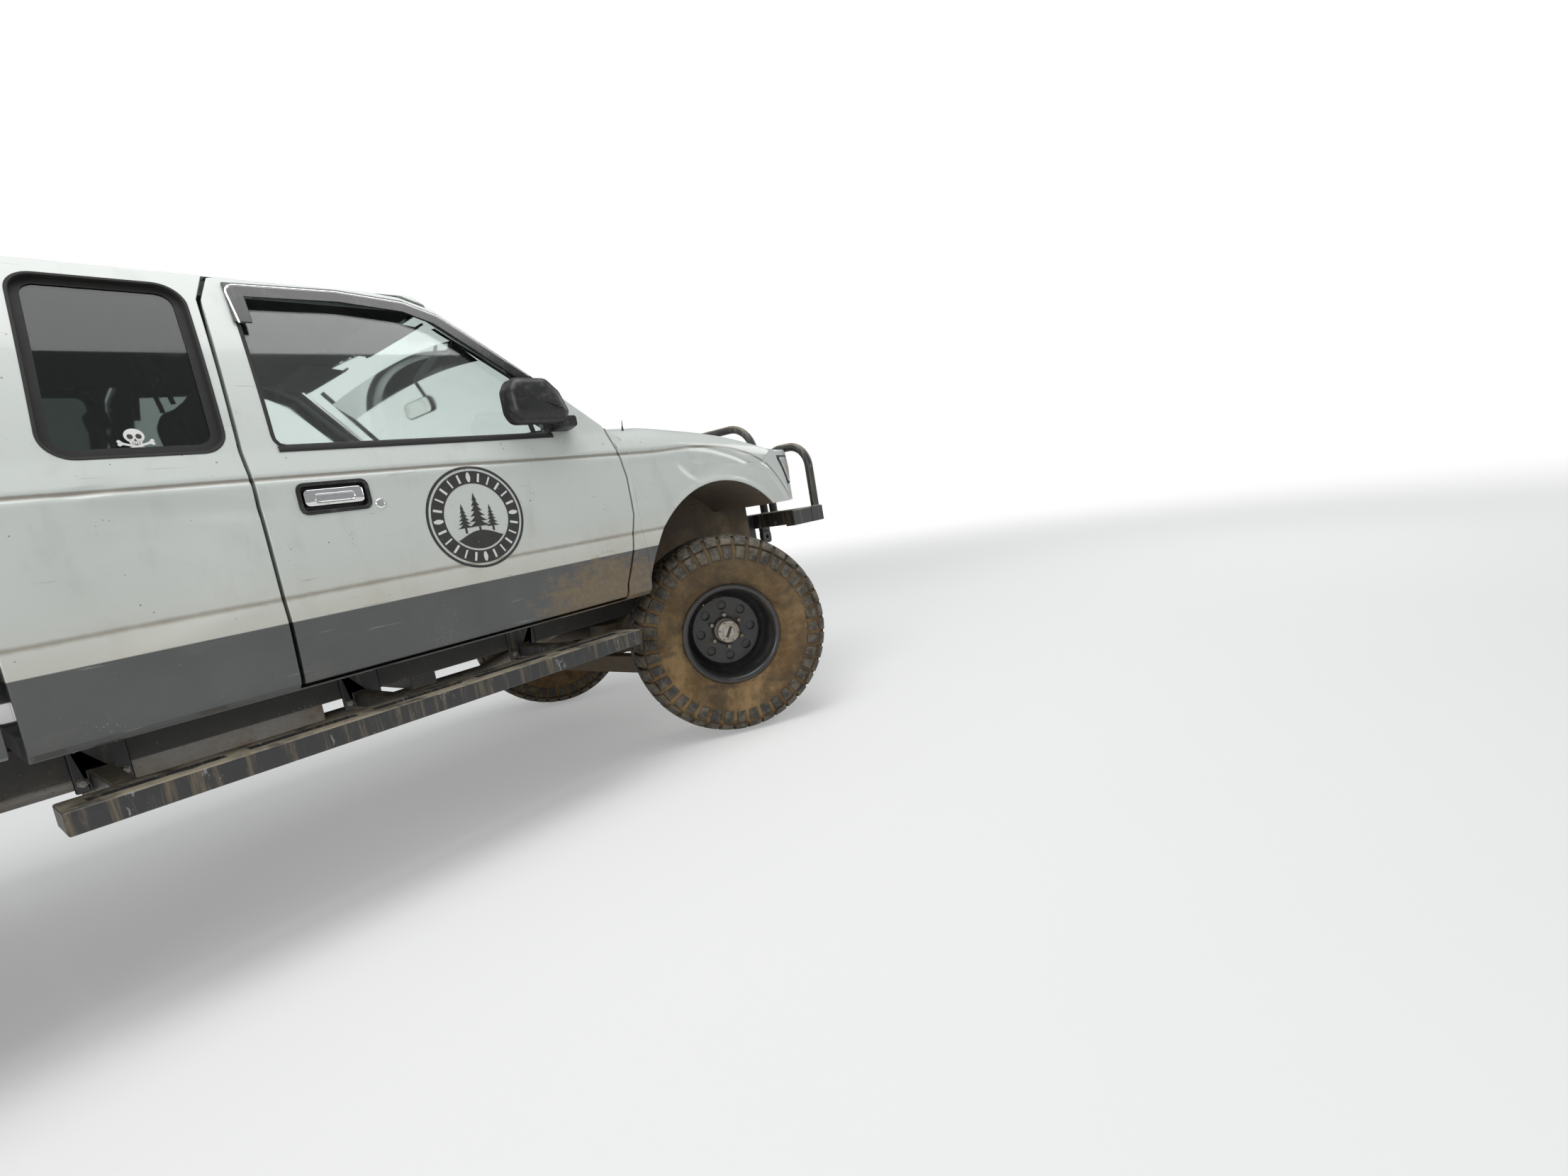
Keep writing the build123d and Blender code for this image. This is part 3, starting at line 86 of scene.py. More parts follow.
def soft_curve(rows, width, step=2.0):
    """Polyline of rising rows (place, value) as a function, its corners rounded over width millimetres."""
    rows = np.array(rows, float)
    at = np.arange(rows[0, 0], rows[-1, 0] + step, step)
    values = rounded(np.interp(at, *rows.T), width / step)
    return lambda where: np.interp(where, at, values)


# Body section: h and y of the flank
FLANK = np.array([(250, 800), (264, 832), (429, 850), (493, 843), (640, 841), (795, 835), (875, 805)], float)
FRONT_PLAN = np.array([(-700, 850), (150, 850), (330, 834), (480, 802), (590, 745), (655, 650), (690, 440), (700, 200)],
                      float)
FRONT_TOP = np.array([(-800, 917), (-345, 916), (95, 872), (350, 836), (520, 792), (630, 750), (682, 690), (700, 600)],
                     float)
GLASS_ARC = [(875, 805), (1125, 722), (1366, 617)]
DOOR_WINDOW = [(-1608, 878), (-1574, 1340), (-1300, 1350), (-1112, 1334), (-1020, 1296), (-765, 1075), (-765, 878)]
QUARTER_WINDOW = [(-2052, 874), (-2004, 1330), (-1676, 1330), (-1712, 874)]
HANDLE_RECESS = (-1593.0, -1425.0, 700.0, 772.0)
# The upper crease of the flank, rising over the front arch and ending at the lamp
CREASE = [(-2200, 797), (-1200, 795), (-359, 786), (-205, 792), (-40, 794), (134, 769), (222, 742), (312, 700),
          (400, 638), (487, 556), (521, 511)]
CREASE_END, LOWER_CREASE, CAB_BACK = 505, 491, -2225
# Wheel arch: s and h of its middle, and its radius
ARCH = (-16.0, 150.0, 492.0)


def circle_through(rows):
    """Centre and radius of the circle x x + y y = 2 u x + 2 v y + k through three rows."""
    rows = np.array(rows, float)
    u, v, k = np.linalg.solve(np.c_[2 * rows, np.ones(3)], (rows**2).sum(1))
    return u, v, math.sqrt(k + u * u + v * v)


def arc_height(circle, x):
    """The upper half of a circle (centre x, centre y, radius) at x."""
    return circle[1] + np.sqrt(np.clip(circle[2] ** 2 - (x - circle[0]) ** 2, 1, None))


GLASS_CIRCLE = circle_through(GLASS_ARC)


def flank_flat(h):
    """The flank's y at height h, with sharp creases: straight runs, then the glasshouse arc."""
    return np.where(h > 875, arc_height(GLASS_CIRCLE, h), np.interp(h, *FLANK.T))


flank_rows = np.arange(200.0, 1450.0)
flank_soft_rows = rounded(flank_flat(flank_rows), 9.0)
plan_rows = np.arange(-720.0, 701.0)
plan_soft_rows = rounded(np.interp(plan_rows, *FRONT_PLAN.T), 26.0)
crease_line = soft_curve(CREASE, 40.0)


def off_crease(s, h):
    """Distance of a station from the upper crease: its height above the crease times the slope's cosine."""
    slope = (crease_line(s + 4) - crease_line(s - 4)) / 8
    return (h - crease_line(s)) / np.sqrt(1 + slope * slope)


def flank_soft(h):
    """The flank's y at height h, with creases rounded."""
    return np.interp(h, flank_rows, flank_soft_rows)


def side_flat(s, h):
    """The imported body's y: the lesser of the flank at h and the plan at s."""
    return np.minimum(flank_flat(h), np.interp(s, *FRONT_PLAN.T, left=900))


def dent(s, h, middle, size, depth, lean):
    """A soft dent: depth times exp(-r ** 3.4) over an ellipse, turned by lean."""
    c, n = math.cos(math.radians(lean)), math.sin(math.radians(lean))
    along, up = s - middle[0], h - middle[1]
    a, b = (along * c + up * n) / size[0], (up * c - along * n) / size[1]
    return depth * np.exp(-((a * a + b * b) ** 1.7))


# Dents of the right side: middle (s, h), size, depth, lean
RIGHT_DENTS = [
    ((-1930, 590), (150, 150), 21.0, 18), ((-1885, 452), (170, 20), -3.0, 12), ((-1850, 742), (190, 24), 7.0, -6),
    ((-1990, 800), (60, 12), 3.0, 14), ((-180, 705), (70, 26), 4.5, -38), ((-140, 742), (26, 12), 2.5, -20),
    ((-60, 690), (90, 30), 2.0, 10), ((-430, 520), (120, 90), 2.5, 0), ((-1250, 350), (200, 50), 3.0, 3),
    ((-700, 340), (110, 60), 2.5, -10), ((-2900, 760), (160, 40), 6.0, 5), ((-3900, 620), (130, 120), 7.0, 30),
]


def side_soft(s, h, dented):
    """The skin's y: soft least of flank and plan, a dust groove along the crease, a rolled arch lip and the dents."""
    plan = np.interp(s, plan_rows, plan_soft_rows, left=900)
    width = 5.0
    y = -width * np.logaddexp(-flank_soft(h) / width, -plan / width)
    off = off_crease(s, h)
    y = y + (1.6 * bell(off + 22, 16) - 4.0 * bell(off, 8.0)) * (s < CREASE_END)
    y = y - 2.2 * bell(h - LOWER_CREASE, 9) * (s < -300) * (s > CAB_BACK)
    for middle in (ARCH[0], REAR_S):
        y = y + 2.5 * bell(np.hypot(s - middle, h - ARCH[1]) - ARCH[2] - 6, 13) * (h > 160)
    if dented:
        y = y - sum(dent(s, h, *row) for row in RIGHT_DENTS)
    return y


def times(colour, *shares):
    """A colour scaled by one share, or by one for each channel."""
    return tuple(min(c * s, 1) for c, s in zip(colour, shares * 3 if len(shares) == 1 else shares))


class Link:
    """A node's output that arithmetic can be written with: each operation adds a Math node."""

    def __init__(self, finish, socket):
        self.finish, self.socket = finish, socket

    def __add__(self, other):
        return self.finish.math("ADD", self, other)

    def __sub__(self, other):
        return self.finish.math("SUBTRACT", self, other)

    def __rsub__(self, other):
        return self.finish.math("SUBTRACT", other, self)

    def __mul__(self, other):
        return self.finish.math("MULTIPLY", self, other)

    def __truediv__(self, other):
        return self.finish.math("DIVIDE", self, other)

    def __pow__(self, other):
        return self.finish.math("POWER", self, other)

    __radd__, __rmul__ = __add__, __mul__


class Finish:
    """One material: a Principled shader, and the nodes that vary it over the surface."""

    made = {}

    def __init__(self, name, **constants):
        self.material = bpy.data.materials.new(name)
        self.material.use_nodes = True
        self.tree = self.material.node_tree
        self.tree.nodes.clear()
        self.shader = self.tree.nodes.new("ShaderNodeBsdfPrincipled")
        self.end = self.tree.nodes.new("ShaderNodeOutputMaterial")
        self.tree.links.new(self.shader.outputs[0], self.end.inputs["Surface"])
        self.where = self.node("ShaderNodeTexCoord", output="Object")
        self.x, self.y, self.z = (self.node("ShaderNodeSeparateXYZ", inputs={0: self.where}, output=n) for n in "XYZ")
        self.set(**constants)

    def feed(self, socket, value):
        """Link a value to a socket, or write a number or colour on it."""
        if isinstance(value, Link):
            self.tree.links.new(value.socket, socket)
        elif hasattr(value, "__len__") and len(value) == 3 and len(socket.default_value) == 4:
            socket.default_value = (*value, 1.0)
        else:
            socket.default_value = value

    def node(self, kind, settings=None, inputs=None, output=0):
        """Add a node: its settings first, then its sockets' values or links."""
        node = self.tree.nodes.new(kind)
        for name, value in (settings or {}).items():
            setattr(node, name, value)
        for key, value in (inputs or {}).items():
            self.feed(node.inputs[key], value)
        return Link(self, node.outputs[output])

    def math(self, operation, first, second=0.0, clamp=False):
        """One Math node."""
        return self.node("ShaderNodeMath", {"operation": operation, "use_clamp": clamp}, {0: first, 1: second})

    def set(self, **values):
        """Set the shader's sockets; Base_Color stands for Base Color."""
        for name, value in values.items():
            self.feed(self.shader.inputs[name.replace("_", " ")], value)

    def step(self, value, low, high):
        """Smooth step of a value between low and high."""
        ends = {"Value": value, "From Min": low, "From Max": high}
        return self.node("ShaderNodeMapRange", {"interpolation_type": "SMOOTHSTEP"}, ends)

    def mix(self, share, first, second):
        """Colour mix from first to second."""
        return self.node("ShaderNodeMix", {"data_type": "RGBA"}, {0: share, 6: first, 7: second}, output=2)

    def noise(self, scale, detail=3.0, rough=0.55, stretch=None, warp=0.0):
        """Noise from 0 to 1 at a scale per metre, stretched along the axes."""
        spot = self.where
        if stretch:
            spot = self.node("ShaderNodeMapping", inputs={"Vector": spot, "Scale": stretch})
        sizes = {"Vector": spot, "Scale": scale, "Detail": detail, "Roughness": rough, "Distortion": warp}
        return self.node("ShaderNodeTexNoise", inputs=sizes)

    def patches(self, low, high, *sizes, **more):
        """Soft-edged patches: noise stepped between low and high."""
        return self.step(self.noise(*sizes, **more), low, high)

    def cells(self, scale):
        """Distance to the nearest of scattered spots."""
        return self.node("ShaderNodeTexVoronoi", inputs={"Vector": self.where, "Scale": scale})

    def attribute(self, name):
        """A value that the mesh holds at its points."""
        return self.node("ShaderNodeAttribute", {"attribute_name": name}, output="Fac")

    def bump(self, height, strength, distance):
        """Bump from a height, fed to Normal."""
        sizes = {"Height": height, "Strength": strength, "Distance": distance}
        self.set(Normal=self.node("ShaderNodeBump", inputs=sizes))


MUD, PALE_MUD, DUST = (0.235, 0.165, 0.090), (0.36, 0.285, 0.185), (0.40, 0.37, 0.30)


def once(maker):
    """Make each finish only once, whichever piece asks first."""
    def get(*args):
        key = (maker.__name__, args)
        if key not in Finish.made:
            Finish.made[key] = maker(*args).material
        return Finish.made[key]
    return get


def muddy(f, colour, rough, amount=1.0, top=0.60, coat=None, relief=None):
    """Spatter thicker towards the ground: fine drops, blotches and a dry film, over a colour and a roughness."""
    low = 1 - f.step(f.z + (f.noise(3.1, 4.0) - 0.5) * 0.30, 0.25, top + 0.30)
    film = f.step(f.noise(6.0, 6.0, 0.62) + low * 0.75 * amount, 0.72, 1.18)
    drops = f.step(f.cells(95.0) + f.noise(8.0) * 0.9 - low * 0.42 * amount, 0.44, 0.34)
    flecks = f.step(f.cells(310.0) + f.noise(14.0) * 1.1 - low * 0.30 * amount, 0.46, 0.38)
    mask = f.math("MAXIMUM", film * 0.72, f.math("MAXIMUM", drops * 0.9, flecks * 0.7), True)
    soil = f.mix(f.noise(23.0, 5.0), MUD, PALE_MUD)
    f.set(Base_Color=f.mix(mask, colour, soil), Roughness=rough + (0.88 - rough) * mask)
    if coat is not None:
        f.set(Coat_Weight=(1 - mask) * coat)
    height = mask * 0.6 + f.noise(160.0, 3.0) * mask * 0.5
    f.bump(height if relief is None else height + relief, 0.35, 0.0018)


@once
def body_paint():
    """Weathered white over charcoal below the two-tone edge, darker and browner low on the flank, with dust and painted
    shade along both creases and mud low down.
    """
    paint = bpy.context.scene.pickup_paint
    f = Finish("body_paint", Coat_Roughness=0.09, Specular_IOR_Level=0.45)
    white = f.mix(f.noise(2.4, 3.0), tuple(paint.body), times(paint.body, 0.93))
    white = f.mix(f.patches(0.50, 0.80, 11.0, 6.0, 0.6, (1.0, 1.0, 0.45)) * 0.34, white, DUST)
    height = f.z - AXLE_Z
    # Darker and browner towards the bottom of the flank
    lower_darkening = 1 - f.step(height + f.noise(7.0, 4.0) * 0.05, 0.40, 0.66)
    white = f.mix(lower_darkening * 0.42, white, (0.47, 0.41, 0.30))
    dark = f.mix(f.noise(5.0, 5.0), tuple(paint.lower), times(paint.lower, 1.9))
    low = 1 - f.step(height, 0.4275, 0.4305)
    # Dust and painted shade along the lower crease: a soft brown line at its height
    gap = f.math("ABSOLUTE", height - 0.4905)
    line = (1 - f.step(gap + f.noise(30.0) * 0.006, 0.002, 0.014)) * 0.7
    colour = f.mix(line, f.mix(low, white, dark), (0.20, 0.165, 0.115))
    reach = ((f.x - FRONT_X + 0.68) / 0.36) ** 2.0 + ((height - 0.31) / 0.15) ** 2.0
    splash = 1 - f.step(reach + f.noise(38.0, 6.0, 0.7, (0.45, 1.0, 1.0)) * 2.4, 1.35, 2.0)
    colour = f.mix(splash * 0.85, colour, f.mix(f.noise(60.0, 4.0), (0.115, 0.080, 0.042), (0.25, 0.185, 0.105)))
    scratch = f.patches(0.70, 0.74, 22.0, 2.0, 0.4, (0.25, 1.0, 6.0), warp=0.4) * f.patches(0.5, 0.6, 5.0)
    colour = f.mix(scratch * 0.5, colour, (0.33, 0.33, 0.31))
    # Dust and painted shade in the groove of the upper crease
    dust = f.step(f.attribute("groove") + f.noise(40.0, 4.0) * 0.25 - 0.12, 0.30, 0.85)
    colour = f.mix(dust * 0.8, colour, (0.185, 0.160, 0.120))
    chip = f.step(f.cells(42.0) + f.noise(19.0) * 0.5, 0.30, 0.27)
    colour = f.mix(chip * 0.75, colour, (0.20, 0.12, 0.07))
    rough = 0.30 + f.noise(9.0, 4.0) * 0.16 + low * 0.22
    orange_peel = f.noise(420.0, 2.0) * 0.05 + f.noise(26.0, 2.0) * 0.10
    muddy(f, colour, rough + splash * 0.3, 1.0, 0.62, paint.clear_coat, orange_peel)
    return f


@once
def plain_paint(name, red, green, blue, rough, mud, top):
    """Satin paint with worn patches, runs of dust and mud low down."""
    f = Finish(name, Coat_Roughness=0.25)
    base = (red, green, blue)
    worn = f.noise(17.0, 6.0, 0.65)
    colour = f.mix(worn, times(base, 0.75), tuple(min(1.45 * c + 0.01, 1) for c in base))
    colour = f.mix(f.patches(0.63, 0.72, 46.0, 5.0, 0.7) * 0.5, colour, (0.20, 0.15, 0.11))
    muddy(f, colour, rough + worn * 0.15, mud, top, 0.15)
    return f


@once
def dark_plastic(name, shade, rough):
    """Moulded plastic with a fine grain and a little dust."""
    f = Finish(name)
    dust = f.patches(0.48, 0.85, 30.0, 6.0, 0.7)
    specks = f.step(f.cells(240.0), 0.16, 0.08) * f.patches(0.42, 0.62, 12.0)
    colour = f.mix(dust * 0.22 + specks * 0.5, (shade, shade, shade * 1.03), (0.42, 0.40, 0.36))
    f.set(Base_Color=colour, Roughness=rough + dust * 0.22)
    f.bump(f.noise(900.0, 2.0), 0.22, 0.0006)
    return f


@once
def rubber(name, shade):
    """Matt rubber with a bloom of dust."""
    f = Finish(name)
    bloom, base = f.noise(40.0, 5.0), (shade, shade, shade)
    f.set(Base_Color=f.mix(bloom, base, times(base, 2.1, 2.0, 1.8)), Roughness=0.62 + bloom * 0.25)
    f.bump(f.noise(700.0, 2.0), 0.2, 0.0005)
    return f


@once
def tread_rubber():
    """Tyre rubber: dark block tops with dusty faces, dried clay in the grooves and in blotches over the sidewall, and
    painted shade darkening the clay towards the top.
    """
    dirt = bpy.context.scene.pickup_dirt
    f = Finish("tread_rubber")
    broad, fine = f.noise(4.2, 5.0, 0.6), f.noise(38.0, 6.0, 0.68)
    clay = f.mix(f.step(broad + fine * 0.35, 0.50, 0.82), tuple(dirt.clay), tuple(dirt.dry_clay))
    clay = f.mix(f.patches(0.44, 0.66, 7.0, 6.0, 0.6, warp=0.6) * 0.85, clay, (0.075, 0.052, 0.028))
    black = f.mix(f.noise(60.0, 4.0), (0.018, 0.018, 0.017), (0.060, 0.055, 0.047))
    dusty = f.step(f.noise(19.0, 6.0, 0.7) + fine * 0.3, 0.52, 0.80) * 0.62
    black = f.mix(dusty, black, (0.20, 0.165, 0.110))
    # Painted shade: the clay darker towards the top of the tyre, under the fender
    clay = f.mix(f.step(f.z + f.noise(3.0) * 0.2, 0.38, 0.92) * 0.62, clay, (0.062, 0.046, 0.028))
    cover = f.step(f.attribute("depth") * 0.60 + broad * 0.62 + fine * 0.34, 0.60, 0.98) * dirt.amount
    f.set(Base_Color=f.mix(cover, black, clay), Roughness=0.70 + cover * 0.22)
    f.bump(fine * cover * 1.2 + f.noise(120.0, 5.0, 0.7) * cover * 0.6 + f.noise(420.0, 3.0) * 0.10, 0.8, 0.006)
    return f


@once
def wheel_steel():
    """Black powder-coated steel with dust in the dish and scuffs on the lip."""
    f = Finish("wheel_steel", Coat_Roughness=0.2)
    colour = f.mix(f.noise(14.0, 5.0), (0.012, 0.012, 0.013), (0.036, 0.036, 0.036))
    dust = f.patches(0.45, 0.80, 8.0, 6.0, 0.65)
    colour = f.mix(dust * 0.36, colour, (0.20, 0.16, 0.115))
    colour = f.mix(f.patches(0.66, 0.72, 75.0, 5.0, 0.75) * 0.45, colour, (0.38, 0.36, 0.33))
    f.set(Base_Color=colour, Roughness=0.34 + dust * 0.4, Coat_Weight=(1 - dust) * 0.35)
    f.bump(f.noise(260.0, 3.0), 0.18, 0.0008)
    return f


@once
def cast_steel(name, shade, rough, metal):
    """Cast or rolled steel with scale, oil stains and rust blooms."""
    f = Finish(name, Metallic=metal)
    scale, base = f.noise(34.0, 6.0, 0.7), (shade, shade, shade)
    colour = f.mix(scale, times(base, 0.6, 0.58, 0.55), times(base, 1.3, 1.25, 1.15))
    colour = f.mix(f.patches(0.52, 0.70, 9.0, 6.0, 0.7) * 0.6, colour, (0.17, 0.085, 0.045))
    muddy(f, colour, rough + scale * 0.15, 0.75, 0.55, None, scale * 0.5)
    return f


@once
def chrome():
    """Plated trim, pitted and dusty in patches."""
    f = Finish("chrome", Metallic=1.0)
    dull = f.patches(0.48, 0.80, 28.0, 5.0, 0.6)
    pits = f.step(f.cells(420.0), 0.14, 0.07)
    colour = f.mix(dull * 0.5 + pits * 0.4, (0.80, 0.80, 0.79), (0.42, 0.39, 0.34))
    f.set(Base_Color=colour, Roughness=0.07 + dull * 0.30)
    f.bump(f.noise(35.0, 2.0), 0.08, 0.001)
    return f


@once
def glazing(name, red, green, blue, dirt):
    """Tinted safety glass with a dry film of dust that gathers low down."""
    f = Finish(name, Transmission_Weight=1.0, IOR=1.45, Specular_IOR_Level=0.5)
    film = f.patches(0.42, 0.95, 7.0, 6.0, 0.6)
    streak, tint = f.noise(20.0, 4.0, 0.6, (1.0, 1.0, 0.12)), (red, green, blue)
    colour = f.mix(film * 0.35, tint, times(tint, 0.9, 0.88, 0.8))
    f.set(Base_Color=colour, Roughness=(film * 0.7 + streak * 0.5) * dirt)
    f.bump(f.noise(5.0, 2.0), 0.02, 0.002)
    return f


@once
def lens(name, red, green, blue, ribs, through=0.55):
    """Moulded lamp lens with fine upright flutes."""
    f = Finish(name, IOR=1.49, Transmission_Weight=through, Coat_Weight=1.0, Coat_Roughness=0.05)
    haze, tint = f.noise(30.0, 4.0), (red, green, blue)
    f.set(Base_Color=f.mix(haze * 0.3, tint, times(tint, 0.72, 0.70, 0.66)), Roughness=0.08 + haze * 0.12)
    f.bump(f.math("ABSOLUTE", f.math("SINE", (f.x + f.y) * ribs)), 0.5, 0.002)
    return f


@once
def cloth(name, shade):
    """Woven seat cloth: warp and weft at two millimetres, with a soft nap."""
    f = Finish(name, Sheen_Weight=0.35, Sheen_Roughness=0.5)
    weave = f.math("SINE", f.y * 2600.0) * f.math("SINE", (f.x + f.z) * 2600.0) * 0.5 + 0.5
    nap, base = f.noise(24.0, 5.0), (shade, shade, shade)
    thread = f.mix(weave, times(base, 0.7, 0.7, 0.74), times(base, 1.35, 1.35, 1.4))
    f.set(Base_Color=f.mix(nap * 0.4, thread, times(base, 2.0, 1.9, 1.7)), Roughness=0.85 + nap * 0.1)
    f.bump(weave + nap * 0.4, 0.35, 0.0008)
    return f


@once
def bed_coating():
    """Scratched load-bed paint with dust in the corners."""
    f = Finish("bed_coating")
    scuff = f.patches(0.55, 0.70, 30.0, 5.0, 0.7, (0.25, 1.0, 1.0))
    colour = f.mix(f.noise(6.0, 5.0), (0.50, 0.51, 0.49), (0.62, 0.63, 0.60))
    colour = f.mix(scuff * 0.55, colour, (0.30, 0.28, 0.25))
    colour = f.mix(f.patches(0.62, 0.72, 12.0, 6.0, 0.7) * 0.7, colour, (0.25, 0.12, 0.06))
    muddy(f, colour, 0.5, 0.35, 0.8, None, scuff * 0.4)
    return f


@once
def bar_paint():
    """Black bar paint: satin, chalked on its upper faces, scuffed to grey steel in streaks, clay dried on top."""
    f = Finish("bar_paint", Coat_Roughness=0.3)
    worn = f.noise(20.0, 6.0, 0.7)
    colour = f.mix(worn, (0.012, 0.012, 0.013), (0.040, 0.040, 0.041))
    up = f.node("ShaderNodeSeparateXYZ", inputs={0: f.node("ShaderNodeNewGeometry", output="Normal")}, output="Z")
    chalk = f.patches(0.30, 0.56, 11.0, 6.0, 0.7) * f.step(up, 0.35, 0.9)
    colour = f.mix(chalk * 0.9, colour, f.mix(f.noise(50.0, 5.0), (0.21, 0.175, 0.115), (0.42, 0.37, 0.27)))
    streak = f.patches(0.50, 0.68, 48.0, 5.0, 0.7, (1.0, 1.0, 0.07))
    colour = f.mix(streak * (1 - chalk) * 0.7, colour, (0.165, 0.130, 0.078))
    scuff = f.patches(0.62, 0.67, 26.0, 4.0, 0.75, (1.0, 1.0, 0.35))
    colour = f.mix(scuff * 0.6, colour, (0.30, 0.31, 0.31))
    muddy(f, colour, 0.38 + worn * 0.2 + chalk * 0.35, 0.45, 0.35, 0.25, scuff * 0.4)
    return f


@once
def vinyl(name, red, green, blue):
    """Cut vinyl film: slightly faded, with worn flecks and dust."""
    f = Finish(name)
    soil = f.noise(60.0, 5.0)
    faded = (red * 0.72 + 0.06, green * 0.72 + 0.055, blue * 0.72 + 0.045)
    colour = f.mix(soil * 0.5, (red, green, blue), faded)
    colour = f.mix(f.patches(0.64, 0.70, 95.0, 4.0, 0.7) * 0.5, colour, (0.40, 0.39, 0.36))
    f.set(Base_Color=colour, Roughness=0.42 + soil * 0.2)
    f.bump(soil, 0.08, 0.0006)
    return f


def grid_faces(rows, columns, wrap_rows=False, wrap_columns=False, flip=False):
    """Quads between the neighbouring points of a grid stored row by row."""
    r = np.arange(rows if wrap_rows else rows - 1)[:, None]
    c = np.arange(columns if wrap_columns else columns - 1)[None, :]
    down, right = (r + 1) % rows, (c + 1) % columns
    corners = np.broadcast_arrays(r * columns + c, r * columns + right, down * columns + right, down * columns + c)
    quads = np.stack(corners, -1).reshape(-1, 4)
    return quads[:, ::-1] if flip else quads


def read(items, name):
    """A value of all points or faces of a mesh, as rows of three."""
    values = np.zeros(len(items) * 3)
    items.foreach_get(name, values)
    return values.reshape(-1, 3)


def welded(mesh, merge, outwards=True):
    """Merges a mesh's doubled points and turns its faces outwards."""
    shell = bmesh.new()
    shell.from_mesh(mesh)
    if merge:
        bmesh.ops.remove_doubles(shell, verts=shell.verts, dist=merge)
    if outwards:
        bmesh.ops.recalc_face_normals(shell, faces=shell.faces)
    shell.to_mesh(mesh)
    shell.free()
    return mesh


def settle(mesh, name, slot, angle=38.0, body="body", replaces=()):
    """Turns a mesh into a piece: smooth shading up to an angle, its body and the nodes it stands for; the slot it is
    given is not used.
    """
    mesh.validate()
    mesh.polygons.foreach_set("use_smooth", np.ones(len(mesh.polygons), bool))
    mesh.set_sharp_from_angle(angle=math.radians(angle))
    thing = bpy.data.objects.new(name, mesh)
    bpy.context.scene.collection.objects.link(thing)
    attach(thing, body)
    if replaces:
        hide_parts(*replaces)
    return thing


class Form:
    """The surfaces of one piece, gathered before they become a mesh; each piece leaves the form empty for the next."""

    def __init__(self):
        self.points, self.faces, self.depths, self.count = [], [], [], 0

    def add(self, points, faces, depth=0.0):
        """Add points, the faces between them, and how deep each point lies in the tread."""
        points = np.asarray(points, float).reshape(-1, 3)
        self.faces += (np.asarray(faces) + self.count).tolist()
        self.points.append(points)
        self.depths.append(np.broadcast_to(np.asarray(depth, float).reshape(-1), (len(points),)))
        self.count += len(points)

    def grid(self, surface, wrap=(False, False), flip=False, depth=0.0):
        """Add a grid of points, shape (rows, columns, 3)."""
        self.add(surface, grid_faces(*surface.shape[:2], *wrap, flip), depth)

    def loops(self, rings):
        """Add a skin through closed loops of points."""
        self.grid(np.stack(rings), (False, True))

    def tube(self, surface):
        """Add a grid whose columns close on themselves, with its two ends capped."""
        rows, columns = surface.shape[:2]
        self.loops(surface)
        ends = np.arange(columns) + self.count
        self.faces += [(ends - rows * columns).tolist(), (ends[::-1] - columns).tolist()]

    def bar(self, path, outline, normal=Z, sizes=1.0):
        """Add an outline carried along a path, with its ends capped."""
        self.tube(swept(path, outline, normal, sizes))

    def turned(self, profile, hub, axis, steps):
        """Add a profile turned about an axle."""
        self.grid(revolved(profile, hub, axis, steps), (True, False))

    def piece(self, name, material, slot, angle=34.0, body="body", replaces=(), merge=0.00002, outwards=True):
        """Make the mesh, give it its finish and let it ride on its body."""
        mesh = bpy.data.meshes.new(name)
        mesh.from_pydata(np.concatenate(self.points).tolist(), [], self.faces)
        depths = np.concatenate(self.depths).astype(np.float32)
        mesh.attributes.new("depth", "FLOAT", "POINT").data.foreach_set("value", depths)
        mesh.materials.append(material)
        self.__init__()
        return settle(welded(mesh, merge, outwards), name, slot, angle, body, replaces)


def unit(vectors):
    """Vectors at length 1."""
    return vectors / np.linalg.norm(vectors, axis=-1, keepdims=True)


def swept(path, outline, normal, sizes=1.0):
    """An outline carried along a path: point = path + size (a side + b up), with side square to path and normal."""
    path, outline = np.asarray(path, float), np.asarray(outline, float)
    tangent = unit(np.gradient(path, axis=0))
    side = unit(np.cross(tangent, np.asarray(normal, float)))
    up = np.cross(side, tangent)
    a, b = outline[..., 0, None] / 1000, outline[..., 1, None] / 1000
    return path[:, None] + np.reshape(sizes, (-1, 1, 1)) * (a * side[:, None] + b * up[:, None])


def ring(radius, steps=16, squash=1.0):
    """Circle or ellipse outline, in millimetres."""
    turn = np.linspace(0, 2 * np.pi, steps, endpoint=False)
    return np.stack([radius * np.cos(turn), radius * squash * np.sin(turn)], -1)


def soft_box(width, height, corner, steps=2):
    """Rectangle outline with round corners, in millimetres, centred."""
    turn = (np.arange(4)[:, None] * 90 + np.linspace(0, 90, steps + 1)[None]) * np.pi / 180
    signs = np.array([(1, 1), (-1, 1), (-1, -1), (1, -1)])[:, None]
    middle = signs * np.array([width / 2 - corner, height / 2 - corner])
    return (middle + corner * np.stack([np.cos(turn), np.sin(turn)], -1)).reshape(-1, 2)


def bend(rows, radius, steps=8):
    """Straight runs through rows of points, each corner replaced by an arc of the given radius."""
    rows = np.asarray(rows, float)
    path = [rows[:1]]
    turn = np.linspace(0, 1, steps + 1)[:, None]
    for before, corner, after in zip(rows[:-2], rows[1:-1], rows[2:]):
        a, b = unit(before - corner), unit(after - corner)
        half = np.arccos(np.clip(a @ b, -1, 1)) / 2
        reach, swing = radius / np.tan(half), np.pi - 2 * half
        centre = corner + unit(a + b) * radius / np.sin(half)
        start, end = corner + a * reach - centre, corner + b * reach - centre
        path.append(centre + (np.sin((1 - turn) * swing) * start + np.sin(turn * swing) * end) / np.sin(swing))
    return np.concatenate([*path, rows[-1:]])


